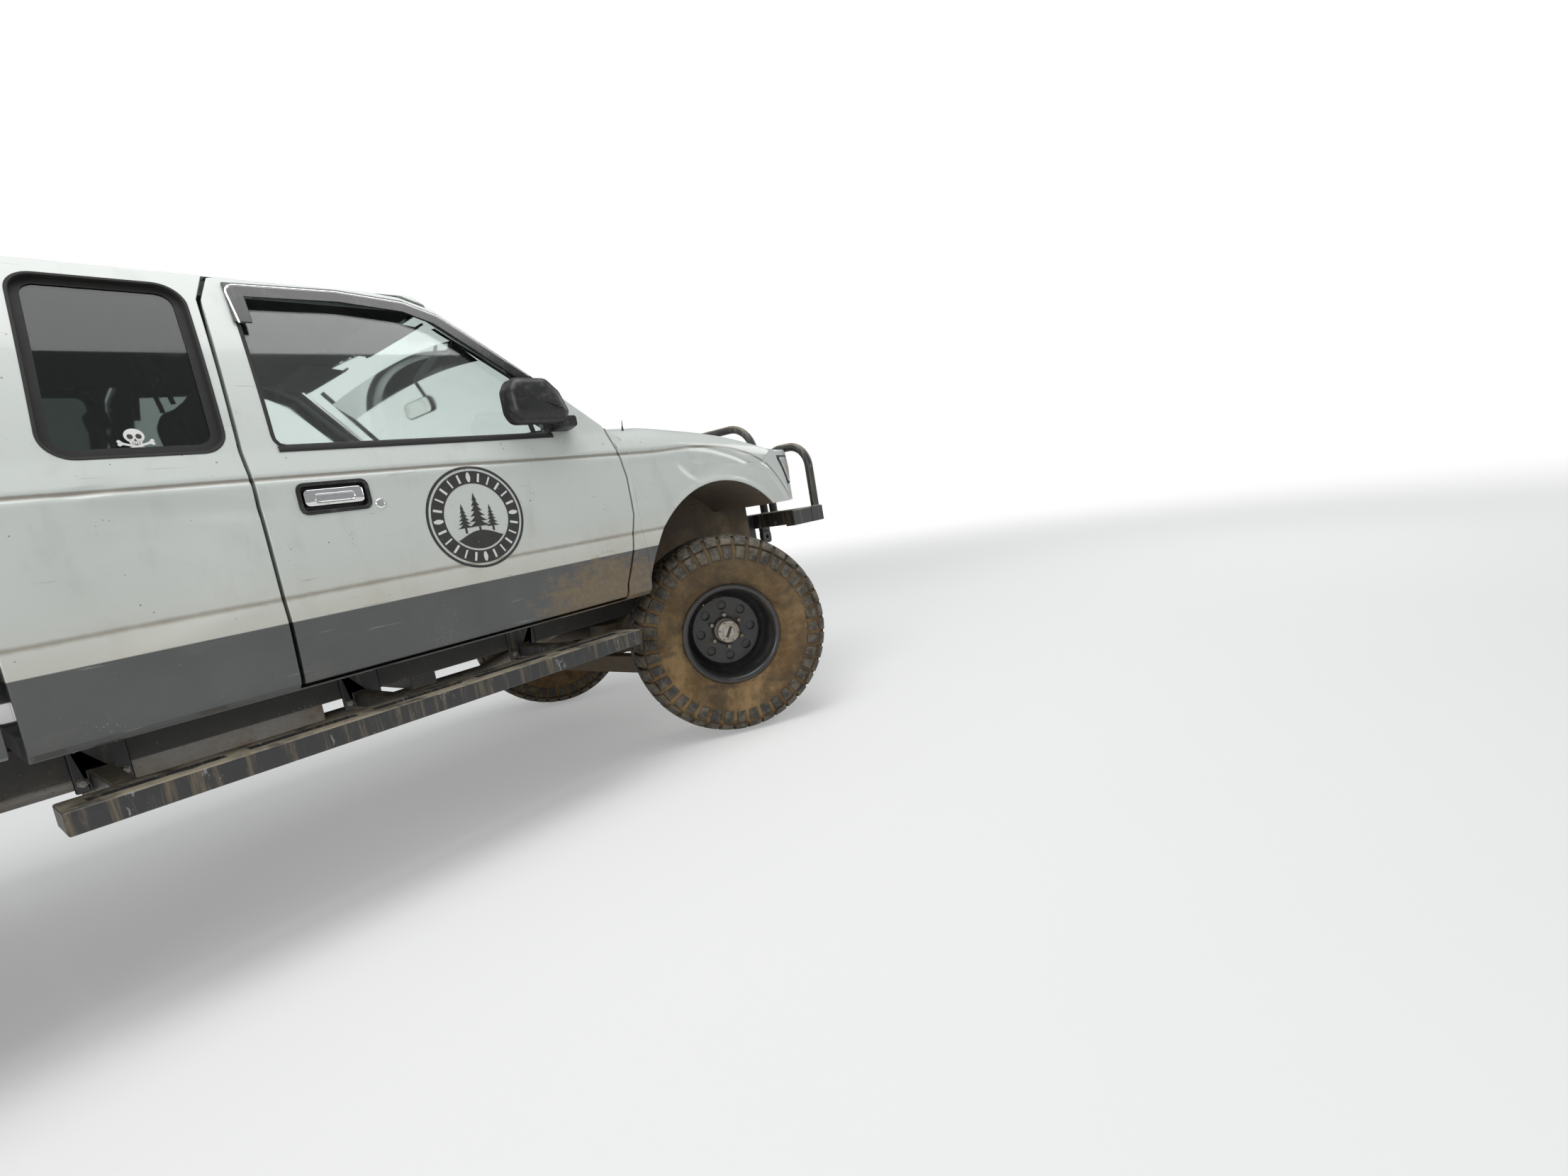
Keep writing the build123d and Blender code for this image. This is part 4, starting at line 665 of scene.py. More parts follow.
def table(at, places, rows):
    """Columns of a table read at places between its rows."""
    return np.stack([np.interp(at, places, column) for column in np.asarray(rows, float).T], -1)


def even(path, count):
    """A path of points resampled at even steps of length."""
    path = np.asarray(path, float)
    length = np.concatenate([[0], np.cumsum(np.linalg.norm(np.diff(path, axis=0), axis=1))])
    return table(np.linspace(0, length[-1], count), length, path)


def revolved(profile, hub, axis, steps):
    """A profile of (radius, outward) rows turned about an axle: point = hub + w axis + r (cos t up + sin t across)."""
    profile = np.asarray(profile, float) / 1000
    axis = unit(np.asarray(axis, float))
    turn = np.linspace(0, 2 * np.pi, steps, endpoint=False)[:, None, None]
    spoke = np.cos(turn) * Z + np.sin(turn) * np.cross(axis, Z)
    return np.asarray(hub) + profile[:, 1, None] * axis + profile[:, 0, None] * spoke


def surface_at(rows, columns):
    """Two even parameters from 0 to 1 as a grid."""
    return np.meshgrid(np.linspace(0, 1, rows), np.linspace(0, 1, columns), indexing="ij")


# Skins
CROWN_EDGE = circle_through([(835, 795), (800, 860), (700, 893)])
CROWN_TOP = circle_through([(700, 893), (350, 910), (0, 915)])
CROWN_H = 915


def top_flat(s, y):
    """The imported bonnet's h: the lesser of the side profile at s and the section's crown at y."""
    y = np.abs(y)
    section = np.where(y > 700, arc_height(CROWN_EDGE, y), arc_height(CROWN_TOP, y))
    return np.minimum(section, np.interp(s, *FRONT_TOP.T)), section


top_line = soft_curve(FRONT_TOP, 46.0)


def top_soft(s, y):
    """The skin's h: the rounded side profile less a share of the section's fall, with two long pressed ribs."""
    flat, section = top_flat(s, y)
    share = 1 - 0.75 * ease(s, -150, 420)
    soft = top_line(s) - (CROWN_H - section) * (1 - share * 0.15)
    rib = 5.0 * ease(np.abs(y), 395, 330) * ease(s, -330, -230) * ease(s, 560, 420)
    return np.minimum(soft, flat + 2.0) + rib


def nudge(points, dented, top_weight=0.0):
    """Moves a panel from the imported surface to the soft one: along y by the flank's change, along z by the top's."""
    s, y, h = stations(points)
    side, reach = np.sign(y), np.abs(y)
    soft, flat = side_soft(s, h, dented), side_flat(s, h)
    outer = np.abs(reach - flat) < 1.3
    flank = ease(reach, flat - 130, flat - 70) * ease(h, 1372, 1330) * ease(s, 640, 520)
    new_reach = np.where(outer & (h > 880) & (s < -480), soft, reach + (soft - flat) * flank)
    high, _ = top_flat(s, y)
    lift = (top_soft(s, y) - high) * ease(h, high - 75, high - 35) * top_weight
    return np.stack([points[:, 0], side * new_reach / 1000, points[:, 2] + lift / 1000], -1)


def cut_planes(shell, axis, pitch):
    """Cuts a mesh by planes square to one axis, at even steps of the pitch or at each place of a list."""
    spots = np.array([v.co[axis] for v in shell.verts])
    low, high = spots.min(), spots.max()
    normal = Vector([float(n == axis) for n in range(3)])
    cuts = np.arange(low + pitch / 2, high, pitch) if np.ndim(pitch) == 0 else np.array(pitch)
    for at in cuts[(cuts > low) & (cuts < high)]:
        everything = shell.verts[:] + shell.edges[:] + shell.faces[:]
        bmesh.ops.bisect_plane(shell, geom=everything, dist=1e-6, plane_co=normal * at, plane_no=normal)


def skin(name, node, materials, slot, body="body", pitches=(), move=None, roll=0.0028, mark=None):
    """A panel's skin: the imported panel's mesh with rolled edges, cut to a grid and moved by a field over its points."""
    shell = bmesh.new()
    shell.from_mesh(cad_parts[node].data)
    bmesh.ops.remove_doubles(shell, verts=shell.verts, dist=0.00005)
    bmesh.ops.dissolve_limit(shell, angle_limit=math.radians(0.4), verts=shell.verts, edges=shell.edges)
    sharp = [e for e in shell.edges if len(e.link_faces) == 2 and e.calc_face_angle(0) > math.radians(24)]
    bmesh.ops.bevel(shell, geom=sharp, offset=roll, segments=3, profile=0.5, affect="EDGES", clamp_overlap=False)
    for axis, pitch in pitches:
        cut_planes(shell, axis, pitch)
    bmesh.ops.recalc_face_normals(shell, faces=shell.faces)
    mesh = bpy.data.meshes.new(name)
    shell.to_mesh(mesh)
    shell.free()
    for material in materials:
        mesh.materials.append(material)
    if move is not None:
        mesh.vertices.foreach_set("co", move(read(mesh.vertices, "co")).reshape(-1))
        mesh.update()
    s, _, h = stations(read(mesh.vertices, "co"))
    # Share of dust and painted shade along the upper crease, stored as the groove attribute
    dust = bell(off_crease(s, h), 7.5) * (s < CREASE_END)
    mesh.attributes.new("groove", "FLOAT", "POINT").data.foreach_set("value", dust.astype(np.float32))
    if mark is not None:
        marks = mark(read(mesh.polygons, "center"), read(mesh.polygons, "normal"))
        mesh.polygons.foreach_set("material_index", marks.astype(np.int32))
    thing = settle(mesh, name, slot, 40.0, body, (node,))
    thing.modifiers.new("even_normals", "WEIGHTED_NORMAL").keep_sharp = True
    return thing


def paint_node(node, material):
    """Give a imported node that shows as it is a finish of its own."""
    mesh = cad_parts[node].data
    mesh.materials.clear()
    mesh.materials.append(material)


def inside(depth):
    """A mark for panels: 1 for faces that look at the cabin or the bed, 2 for those in the rear wheel well."""
    def choose(centre, normal):
        s, y, h = stations(centre)
        outward = normal[:, 1] * np.sign(y)
        gap = side_flat(s, h) - np.abs(y)
        lined = (gap > depth) & (outward < 0.3) & (normal[:, 2] < 0.35) | (gap > 110) & (s < -2260)
        out_s, out_h = s - REAR_S, h - ARCH[1]
        reach = np.hypot(out_s, out_h)
        hollow = out_s * normal[:, 0] + out_h * normal[:, 2] < -0.3 * reach
        hollow = hollow | (outward > 0.5) | (normal[:, 2] < -0.5)
        return np.where((reach < ARCH[2] + 12) & (gap > 20) & hollow, 2, lined)
    return choose


def behind(centre, normal):
    """A mark for the fenders: faces inside both the flank and the top."""
    s, y, h = stations(centre)
    reach = np.abs(y)
    return (reach < side_flat(s, h) - 22) & (h < top_flat(s, reach)[0] - 22) & (normal[:, 2] < 0.45)


class PICKUP_OT_skins(bpy.types.Operator):
    """Fenders, doors, cab sides, roof, bonnet and load bed as rolled, pressed and dented skins"""

    bl_idname = "pickup.skins"
    bl_label = "Body skins"

    def execute(self, context):
        paint, inner = body_paint(), dark_plastic("door_trim", 0.055, 0.62)
        well = plain_paint("well_mud", 0.085, 0.062, 0.040, 0.85, 1.0, 1.1)
        wall = plain_paint("inner_metal", 0.10, 0.10, 0.10, 0.6, 0.5, 0.5)
        below = lambda centre, normal: normal[:, 2] < -0.2
        ahead = lambda centre, normal: normal[:, 0] > 0.5
        for letter, side in SIDES:
            dented = side < 0
            fine = (14.0 if dented else 26.0) * 1.0
            heights = AXLE_Z + np.unique(np.round(np.r_[240:1400:fine, 779:813:3.0], 1)) / 1000
            lengths = FRONT_X + np.r_[-600:120:fine, 120:540:fine * 0.55] / 1000
            # Name, node, body, finishes, cuts (axis and pitch or places), share of the top's change, mark
            panels = (
                ("fender_skin_", "fender_", "body", (paint, well), ((0, lengths), (2, 0.0072 if dented else 0.012)),
                 1.0, behind),
                ("door_skin_", "door_", "door_" + letter, (paint, inner), ((0, fine / 1000), (2, heights)), 0.0,
                 inside(38)),
                ("cab_skin_", "cab_side_", "body", (paint, inner), ((0, fine / 1000), (2, heights)), 0.0, inside(38)),
                ("bed_skin_", "bed_side_", "body", (paint, bed_coating(), well), ((0, 0.03), (2, heights)), 0.0,
                 inside(60)),
            )
            for name, node, body, finishes, cuts, top, mark in panels:
                skin(name + letter, node + letter, finishes, "white_paint", body, cuts,
                     lambda points: nudge(points, dented, top), mark=mark)
        skin("bonnet_skin", "hood", (paint, wall), "white_paint", "hood", ((0, 0.016), (1, 0.02)),
             lambda points: nudge(points, True, 1.0), mark=below)
        skin("roof_skin", "cab_roof", (paint, dark_plastic("headlining", 0.05, 0.9)), "white_paint",
             pitches=((0, 0.04), (1, 0.04)), mark=below)
        skin("back_skin", "cab_back", (paint, inner), "white_paint", pitches=((2, 0.03),), mark=ahead)
        skin("gate_skin", "tailgate", (paint, bed_coating()), "white_paint", "tailgate", ((1, 0.04), (2, 0.03)),
             mark=ahead)
        skin("nose_skin", "nose_panel", (paint, dark_plastic("grille_plastic", 0.02, 0.45)), "grille_black",
             pitches=((1, 0.03),), mark=lambda centre, normal: np.abs(centre[:, 1]) < 0.446)
        return {"FINISHED"}


class PICKUP_OT_floors(bpy.types.Operator):
    """Finishes for the floors and bulkheads, which show as they are packed"""

    bl_idname = "pickup.floors"
    bl_label = "Floors"

    def execute(self, context):
        floor = plain_paint("floor_paint", 0.10, 0.10, 0.10, 0.7, 0.6, 0.9)
        for node in ("cab_floor", "firewall"):
            paint_node(node, floor)
        for node in ("bed_floor", "bed_front"):
            paint_node(node, bed_coating())
        return {"FINISHED"}


class PICKUP_OT_glass(bpy.types.Operator):
    """Windscreen, side, quarter and rear glass"""

    bl_idname = "pickup.glass"
    bl_label = "Glass"

    def execute(self, context):
        clear = glazing("clear_glass", 0.82, 0.88, 0.86, 0.12)
        for node in ("windscreen", "door_glass_l", "door_glass_r"):
            paint_node(node, clear)
        paint_node("cab_glass", glazing("smoked_glass", 0.16, 0.19, 0.18, 0.10))
        return {"FINISHED"}


# Lamps: name, place, target, width, height, share of the power
LAMPS = (
    ("lamp_over", (0.3, -1.5, 5.6), (0.2, 0.0, 0.8), 6.5, 3.2, 1.30),
    ("lamp_side", (-6.4, -4.0, 2.6), (-0.2, -0.8, 0.9), 3.4, 2.2, 0.95),
    ("lamp_front", (6.6, -2.6, 3.2), (1.8, -0.4, 0.8), 3.4, 2.4, 0.42),
    ("lamp_back", (-5.0, 4.6, 4.4), (-0.6, 0.2, 0.9), 4.0, 2.6, 0.40),
)
# The photograph's camera: place, turn, tilt and roll in degrees, lens and film width in millimetres
CAMERA_AT, CAMERA_TURNS, LENS, FILM = (-0.6087, -3.0193, 0.9632), (50.3, -7.2, -9.6), 16.98, 36.0


class PICKUP_OT_stage(bpy.types.Operator):
    """Pale floor, soft studio lamps, white surroundings and the photograph's camera"""

    bl_idname = "pickup.stage"
    bl_label = "Stage"

    def execute(self, context):
        scene, stage = context.scene, context.scene.pickup_stage
        turn = np.linspace(0, 2 * np.pi, 72, endpoint=False)
        radii = np.array([0.001, 2, 5, 9, 14, 22, 40, 80.0])[:, None]
        floor = np.stack([radii * np.cos(turn), radii * np.sin(turn), np.zeros_like(radii * turn) - 0.001], -1)
        mesh = bpy.data.meshes.new("floor")
        mesh.from_pydata(floor.reshape(-1, 3).tolist(), [], grid_faces(8, 72, False, True).tolist())
        ground = bpy.data.objects.new("floor", mesh)
        scene.collection.objects.link(ground)
        # Far from the object, and in part near it, the floor glows white for the camera and in mirrors and glass
        finish = Finish("floor_paper", Roughness=0.9)
        finish.set(Base_Color=finish.mix(finish.noise(0.6, 4.0), (0.80, 0.80, 0.79), (0.84, 0.84, 0.83)))
        seen, *others = [finish.node("ShaderNodeLightPath", output=name)
                         for name in ("Is Camera Ray", "Is Glossy Ray", "Is Transmission Ray")]
        for other in others:
            seen = finish.math("MAXIMUM", seen, other)
        far = finish.step(finish.node("ShaderNodeVectorMath", {"operation": "LENGTH"}, {0: finish.where}, 1), 4.5, 12.0)
        glow = finish.node("ShaderNodeEmission", inputs={"Color": (1, 1, 1), "Strength": 1.0})
        paper = Link(finish, finish.shader.outputs[0])
        blend = finish.node("ShaderNodeMixShader", inputs={0: seen * (0.30 + far * 0.70), 1: paper, 2: glow})
        finish.feed(finish.end.inputs["Surface"], blend)
        mesh.materials.append(finish.material)

        world = bpy.data.worlds.new("surroundings")
        world.use_nodes = True
        scene.world = world
        tree = world.node_tree
        tree.nodes.clear()
        out, paths, either, pick = (tree.nodes.new("ShaderNode" + kind)
                                    for kind in ("OutputWorld", "LightPath", "Math", "MixShader"))
        either.operation = "MAXIMUM"
        links = [(paths.outputs["Is Camera Ray"], either.inputs[0]),
                 (paths.outputs["Is Transmission Ray"], either.inputs[1]),
                 (either.outputs[0], pick.inputs[0]), (pick.outputs[0], out.inputs[0])]
        for socket, colour, strength in ((1, (0.93, 0.97, 1.0, 1), stage.sky), (2, (1, 1, 1, 1), 1.0)):
            light = tree.nodes.new("ShaderNodeBackground")
            light.inputs[0].default_value, light.inputs[1].default_value = colour, strength
            links.append((light.outputs[0], pick.inputs[socket]))
        for start, end in links:
            tree.links.new(start, end)

        for name, spot, target, width, height, share in LAMPS:
            light = bpy.data.lights.new(name, "AREA")
            light.shape, light.size, light.size_y, light.energy = "RECTANGLE", width, height, stage.lamps * share
            lamp = bpy.data.objects.new(name, light)
            aim = (Vector(target) - Vector(spot)).to_track_quat("-Z", "Y").to_matrix().to_4x4()
            lamp.matrix_world = Matrix.Translation(spot) @ aim
            scene.collection.objects.link(lamp)

        yaw, pitch, roll = np.radians(CAMERA_TURNS)
        look = np.array([math.sin(yaw) * math.cos(pitch), math.cos(yaw) * math.cos(pitch), math.sin(pitch)])
        right = np.array([math.cos(yaw), -math.sin(yaw), 0.0])
        up = np.cross(right, look)
        film = bpy.data.cameras.new("photo_camera")
        film.sensor_width, film.lens, film.clip_start, film.clip_end = FILM, LENS, 0.05, 200.0
        camera = bpy.data.objects.new("photo_camera", film)
        matrix = np.eye(4)
        matrix[:3] = np.stack([math.cos(roll) * right + math.sin(roll) * up,
                               math.cos(roll) * up - math.sin(roll) * right, -look, CAMERA_AT], -1)
        camera.matrix_world = Matrix(matrix.tolist())
        scene.collection.objects.link(camera)
        scene.camera = camera
        scene.view_settings.view_transform = "Standard"
        return {"FINISHED"}


# Wheels: s and y of the pivot, outward axis, reach from pivot to bolting face
STEER = math.radians(34.7)
SIN, COS = math.sin(STEER), math.cos(STEER)
WHEELS = {
    "fr": (0.0, -680.0, (-SIN, -COS, 0.0), 95.0),
    "fl": (0.0, 680.0, (SIN, COS, 0.0), 95.0),
    "rr": (REAR_S, -775.0, (0.0, -1.0, 0.0), 0.0),
    "rl": (REAR_S, 775.0, (0.0, 1.0, 0.0), 0.0),
}
TYRE_RADIUS, LUG_TO_TYRE = 419, 19
# Tyre carcass from the middle of the tread to the bead: radius and half width
CARCASS = [(405, 0), (404, 60), (401, 96), (395, 120), (381, 138), (362, 147), (338, 152.5), (314, 155), (290, 154),
           (265, 149), (243, 139), (226, 125), (216, 112), (211, 103), (205, 98)]
# Tread rows: start and end across, share of a turn's pitch they are shifted by, cells a pitch, height share,
# gap along the turn, lean of the cells' sides
TREAD_ROWS = [
    (-29.0, 29.0, 0.00, 2, 1.00, 12.0, 10.0),
    (38.0, 84.0, 0.20, 2, 1.00, 11.0, -12.0),
    (93.0, 150.0, 0.42, 2, 0.98, 15.0, 7.0),
    (156.0, 206.0, 0.42, 2, 0.42, 22.0, 0.0),
]
# A block's section along the turn: place and height, with a sipe in its middle
BLOCK = np.array([(-0.06, -0.15), (0.0, 0.90), (0.03, 1.0), (0.46, 1.0), (0.485, 0.45), (0.515, 0.45), (0.54, 1.0),
                  (0.97, 1.0), (1.0, 0.90), (1.06, -0.15)])


def hub_of(key):
    """Middle of a wheel's bolting face and its outward axis."""
    s, y, axis, reach = WHEELS[key]
    return place(s, y, 0) + np.array(axis) * reach / 1000, np.array(axis)


def normals_of(curve):
    """Normals of a curve of rows."""
    slope = unit(np.gradient(curve, axis=0))
    return np.stack([slope[:, 1], -slope[:, 0]], -1)


def carcass_curve(step=1.0):
    """The carcass as rows (radius, across) at even steps of length, corners rounded."""
    rows = np.array(CARCASS, float)
    both = np.concatenate([rows[::-1] * (1, -1), rows[1:]])
    run = even(both, int(np.linalg.norm(np.diff(both, axis=0), axis=1).sum() / step))
    return np.stack([rounded(column, 5.0) for column in run.T], -1)


def tread_cells(pitches, depth, fine):
    """Tread blocks, a row at a time: point = carcass at q + height along its normal, turned about the axle."""
    curve = carcass_curve()
    places, normals = np.arange(len(curve)), normals_of(curve)
    across, rises = BLOCK.T
    inner = np.linspace(0.05, 0.95, fine)
    down = np.r_[-0.04, 0.0, inner, 1.0, 1.04]
    ups = np.r_[-0.15, 0.90, np.ones(len(inner)), 0.90, -0.15]
    for q0, q1, shift, count, share, gap, lean in TREAD_ROWS:
        for flip in ((1,) if q0 < 0 else (1, -1)):
            total = pitches * count
            q = (q0 + (q1 - q0) * down) * flip
            spot = np.clip(q + len(curve) // 2, 0, len(curve) - 1)
            base, away = table(spot, places, curve)[None, :, None], table(spot, places, normals)[None, :, None]
            sipes = 1.0 if q1 < 90 else 0.0
            profile = np.where((across > 0.4) & (across < 0.6), 1 - (1 - rises) * sipes, rises)
            rise = np.minimum(ups[:, None], profile[None]) * depth * share
            taper = 1 - 0.10 * ease(np.abs(q), 60, 150)[:, None] if q0 < 150 else 1.0
            length = 2 * np.pi * TYRE_RADIUS / total
            number = np.arange(total)[:, None, None]
            # Every other side lug is shorter, and the blocks' heights waver a little
            reach = 1 - 0.16 * (number % 2) * (q0 > 150)
            turn = (number + shift + 0.5 * (flip < 0)) * length
            side = (across[None, None] - 0.5) * (length - gap) + lean * (down[None, :, None] - 0.5) * flip
            angle = (turn + side) / TYRE_RADIUS
            height = (rise * taper)[None] * (1 + 0.02 * np.sin(number * 2.4)) * reach
            radius, width = (base[..., n] + away[..., n] * height for n in (0, 1))
            groove = np.broadcast_to(np.clip(1 - height / (depth * share), 0, 1.15), angle.shape)
            yield np.minimum(radius, TYRE_RADIUS - 0.4), width, angle, groove, flip


class PICKUP_OT_tyres(bpy.types.Operator):
    """Mud-terrain tyres: a smooth carcass under rows of chamfered, slotted tread blocks and side lugs"""

    bl_idname = "pickup.tyres"
    bl_label = "Tyres"

    def execute(self, context):
        form = Form()
        tread = context.scene.pickup_tyre
        rows = carcass_curve()[:: 8]
        ribs = 0.9 * bell(rows[:, 0] - 236, 2.5) + 0.8 * bell(rows[:, 0] - 330, 3.0)
        rows = rows + normals_of(rows) * ribs[:, None]
        outline = np.concatenate([rows, [(198.0, rows[-1, 1] - 2), (198.0, rows[0, 1] + 2)]]) + (0, LUG_TO_TYRE)
        cells = list(tread_cells(tread.pitches, tread.tread_depth * 1000, 5))
        for key in WHEELS:
            hub, axis = hub_of(key)
            form.grid(revolved(outline, hub, axis, 144), (True, True), depth=1.0)
            for radius, width, angle, groove, flip in cells:
                spoke = np.cos(angle)[..., None] * Z + np.sin(angle)[..., None] * np.cross(axis, Z)
                points = hub + (width[..., None] + LUG_TO_TYRE) / 1000 * axis + radius[..., None] / 1000 * spoke
                total, down, over = angle.shape
                quads = grid_faces(down, over, flip=flip > 0)
                faces = quads[None] + (np.arange(total) * down * over)[:, None, None]
                form.add(points, faces.reshape(-1, 4), groove)
            form.piece("tyre_skin_" + key, tread_rubber(), "tyre_rubber", 42.0, "wheel_" + key, ("tyre_" + key,),
                       merge=0.0, outwards=False)
        return {"FINISHED"}


# Rim section from the inner flange over the drop to the dish and back along the barrel: radius and outward
RIM_SECTION = [
    (52, -26), (52, -4), (60, 0), (64, 0.5), (146, 0.5), (150, -1), (160, -9), (168, -14), (174, -16), (176, -12),
    (177, -4), (178, 20), (180, 60), (182, 92), (184, 112), (187, 122), (194, 130), (203, 132.4), (208.4, 131),
    (208.4, 126), (203, 123), (196, 121.5), (192, 119), (190.7, 112), (190.6, 96), (190.6, -60), (192, -80),
    (203, -86), (208.4, -88), (208.4, -93), (203, -94.4), (192, -94), (186, -88), (184.6, -70), (184.6, -36),
    (183, -28), (170, -24), (158, -18), (148, -10), (84, -10), (78, -14), (74, -26),
]
HUB_CAP = [(50.5, 0.5), (50, 8), (46, 12), (46, 50), (47.5, 53), (47.5, 58), (45.5, 61), (36, 61.5),
           (34, 59.5), (27, 59.5), (26, 62.5), (24, 64.5), (12, 65.2), (0.5, 65.2)]


def stacked(outline, levels, middle=(0, 0)):
    """An outline (a, b) scaled and lifted at each level (scale, w), as rows (a, b, w)."""
    return np.stack([np.c_[outline * scale + middle, np.full(len(outline), w)] for scale, w in levels])


def on_face(sheet, hub, axis, turn):
    """Rows (a, b, w) on a wheel's face, turned about its axle: point = hub + w axis + a' up + b' across."""
    a, b, w = (np.asarray(sheet, float)[..., n, None] / 1000 for n in range(3))
    c, n = math.cos(turn), math.sin(turn)
    return hub + w * axis + (a * c - b * n) * Z + (a * n + b * c) * np.cross(axis, Z)


def vent_sector():
    """One of eight sectors of the rim's dish: rings from the edge of a round vent out to the sector's edge."""
    ways = np.stack([np.cos(np.linspace(0, 2 * np.pi, 33)), np.sin(np.linspace(0, 2 * np.pi, 33))], -1)
    u, v = (ways / np.abs(ways).max(1, keepdims=True)).T
    outer_radius, outer_turn = 112 + np.where(u > 0, 34, 48) * u, v * np.pi / 8
    outer = np.stack([outer_radius * np.cos(outer_turn), outer_radius * np.sin(outer_turn)], -1)
    rings = list(stacked(ways, [(19.0, -9.6), (19.0, -1.2), (20.2, 0.2), (22.0, 0.5)], (112, 0)))
    for share in (0.5, 1.0):
        rings.append(np.c_[(ways * 22 + (112, 0)) * (1 - share) + outer * share, np.full(33, 0.5)])
    return np.stack(rings)


class PICKUP_OT_rims(bpy.types.Operator):
    """Deep-dish steel rims with round vents, hexagon nuts, valve and a bolted locking-hub cap"""

    bl_idname = "pickup.rims"
    bl_label = "Rims"

    def execute(self, context):
        form = Form()
        steel, bright = wheel_steel(), cast_steel("nut_steel", 0.42, 0.34, 0.9)
        alloy, dark = cast_steel("hub_alloy", 0.58, 0.5, 0.55), dark_plastic("dial_black", 0.02, 0.4)
        section, vent = np.array(RIM_SECTION, float), vent_sector()
        nut = stacked(ring(1, 6), [(10.8, 0.5), (10.8, 3), (10.2, 5), (10.2, 22), (8.6, 26), (5.0, 27.5), (0.4, 27.6)],
                      (70, 0))
        stem = stacked(ring(1, 12), [(3.0, 70), (3.0, 94), (3.8, 95), (3.8, 108), (2.0, 110), (0.3, 110)], (171, 0))
        dial = stacked(soft_box(50, 12, 5.9, 6), [(1.0, 62.0), (1.0, 65.6), (0.92, 65.9)])
        screw = stacked(ring(3.0, 10), [(1.0, 60.0), (1.0, 62.6), (0.8, 63.0)], (40.5, 0))
        for key in WHEELS:
            hub, axis = hub_of(key)
            body = "wheel_" + key
            for part in (section[4:], section[:4], section[[-1, 0]]):
                form.turned(part, hub, axis, 96)
            for number in range(8):
                form.grid(on_face(vent, hub, axis, number * np.pi / 4))
            form.piece("rim_skin_" + key, steel, "wheel_black", 40.0, body, ("rim_" + key,), merge=0.0004)
            for number in range(6):
                form.tube(on_face(nut, hub, axis, number * np.pi / 3))
            form.tube(on_face(stem, hub, axis, 0.6))
            form.piece("nuts_" + key, bright, "wheel_black", 30.0, body)
            form.turned(HUB_CAP, hub, axis, 72)
            form.piece("hub_cap_" + key, alloy, "dull_steel", 32.0, body)
            form.tube(on_face(dial, hub, axis, 0.5 if key[1] == "l" else -0.5))
            for number in range(6):
                form.tube(on_face(screw, hub, axis, number * np.pi / 3 + 0.3))
            form.piece("hub_dial_" + key, dark, "dull_steel", 30.0, body)
        return {"FINISHED"}


# Lamp's window on the nose: heights, its rear edge as rows (h, s), and y of its front edge
LAMP_LOW, LAMP_HIGH, LAMP_FRONT = 590.0, 724.0, 462.0
LAMP_REAR = [(588, 529), (600, 515), (712, 430), (728, 428)]
TAIL_S, BEAM_H, HOOP_S = -4190, 417.5, 775
# Hoops: y of both legs, height of the top, radius of the bends
HOOPS = [(-390, 390, 935, 150), (-735, -455, 775, 110), (455, 735, 775, 110)]


class Nose:
    """The nose as a surface: share of its plan path from the wheel arch to the middle, height, and out of it."""

    def __init__(self):
        rows = np.stack([plan_rows, plan_soft_rows], -1)
        self.path = even(np.concatenate([rows[rows[:, 0] > 300], [(700.6, 120.0), (701.0, 0.0)]]), 260)
        self.share = np.linspace(0, 1, len(self.path))
        way = np.gradient(self.path, axis=0)
        self.out = np.stack([-way[:, 1], way[:, 0]], -1)

    def point(self, spot, h, out, side):
        """Point at a share of the plan path, h high, out square to it."""
        spot = np.clip(spot, 0, 1)
        way = unit(table(spot, self.share, self.out))
        moved = table(spot, self.share, self.path) + way * np.asarray(out)[..., None]
        return place(moved[..., 0], side * moved[..., 1], h)

    def window(self, u, v, inset):
        """Share of the plan and height inside the lamp's outline, drawn in by an inset."""
        h = LAMP_LOW + inset + (LAMP_HIGH - LAMP_LOW - 2 * inset) * v
        start = np.interp(np.interp(h, *np.array(LAMP_REAR).T) + inset * 1.1, self.path[:, 0], self.share)
        front = np.interp(-LAMP_FRONT - inset, -self.path[:, 1], self.share)
        return start + (front - start) * u, h


def dome(u, v, one, two):
    """Swelling of a lens or bowl: sin(pi u) ** one times sin(pi v) ** two."""
    return np.sin(np.pi * np.clip(u, 0, 1)) ** one * np.sin(np.pi * v) ** two


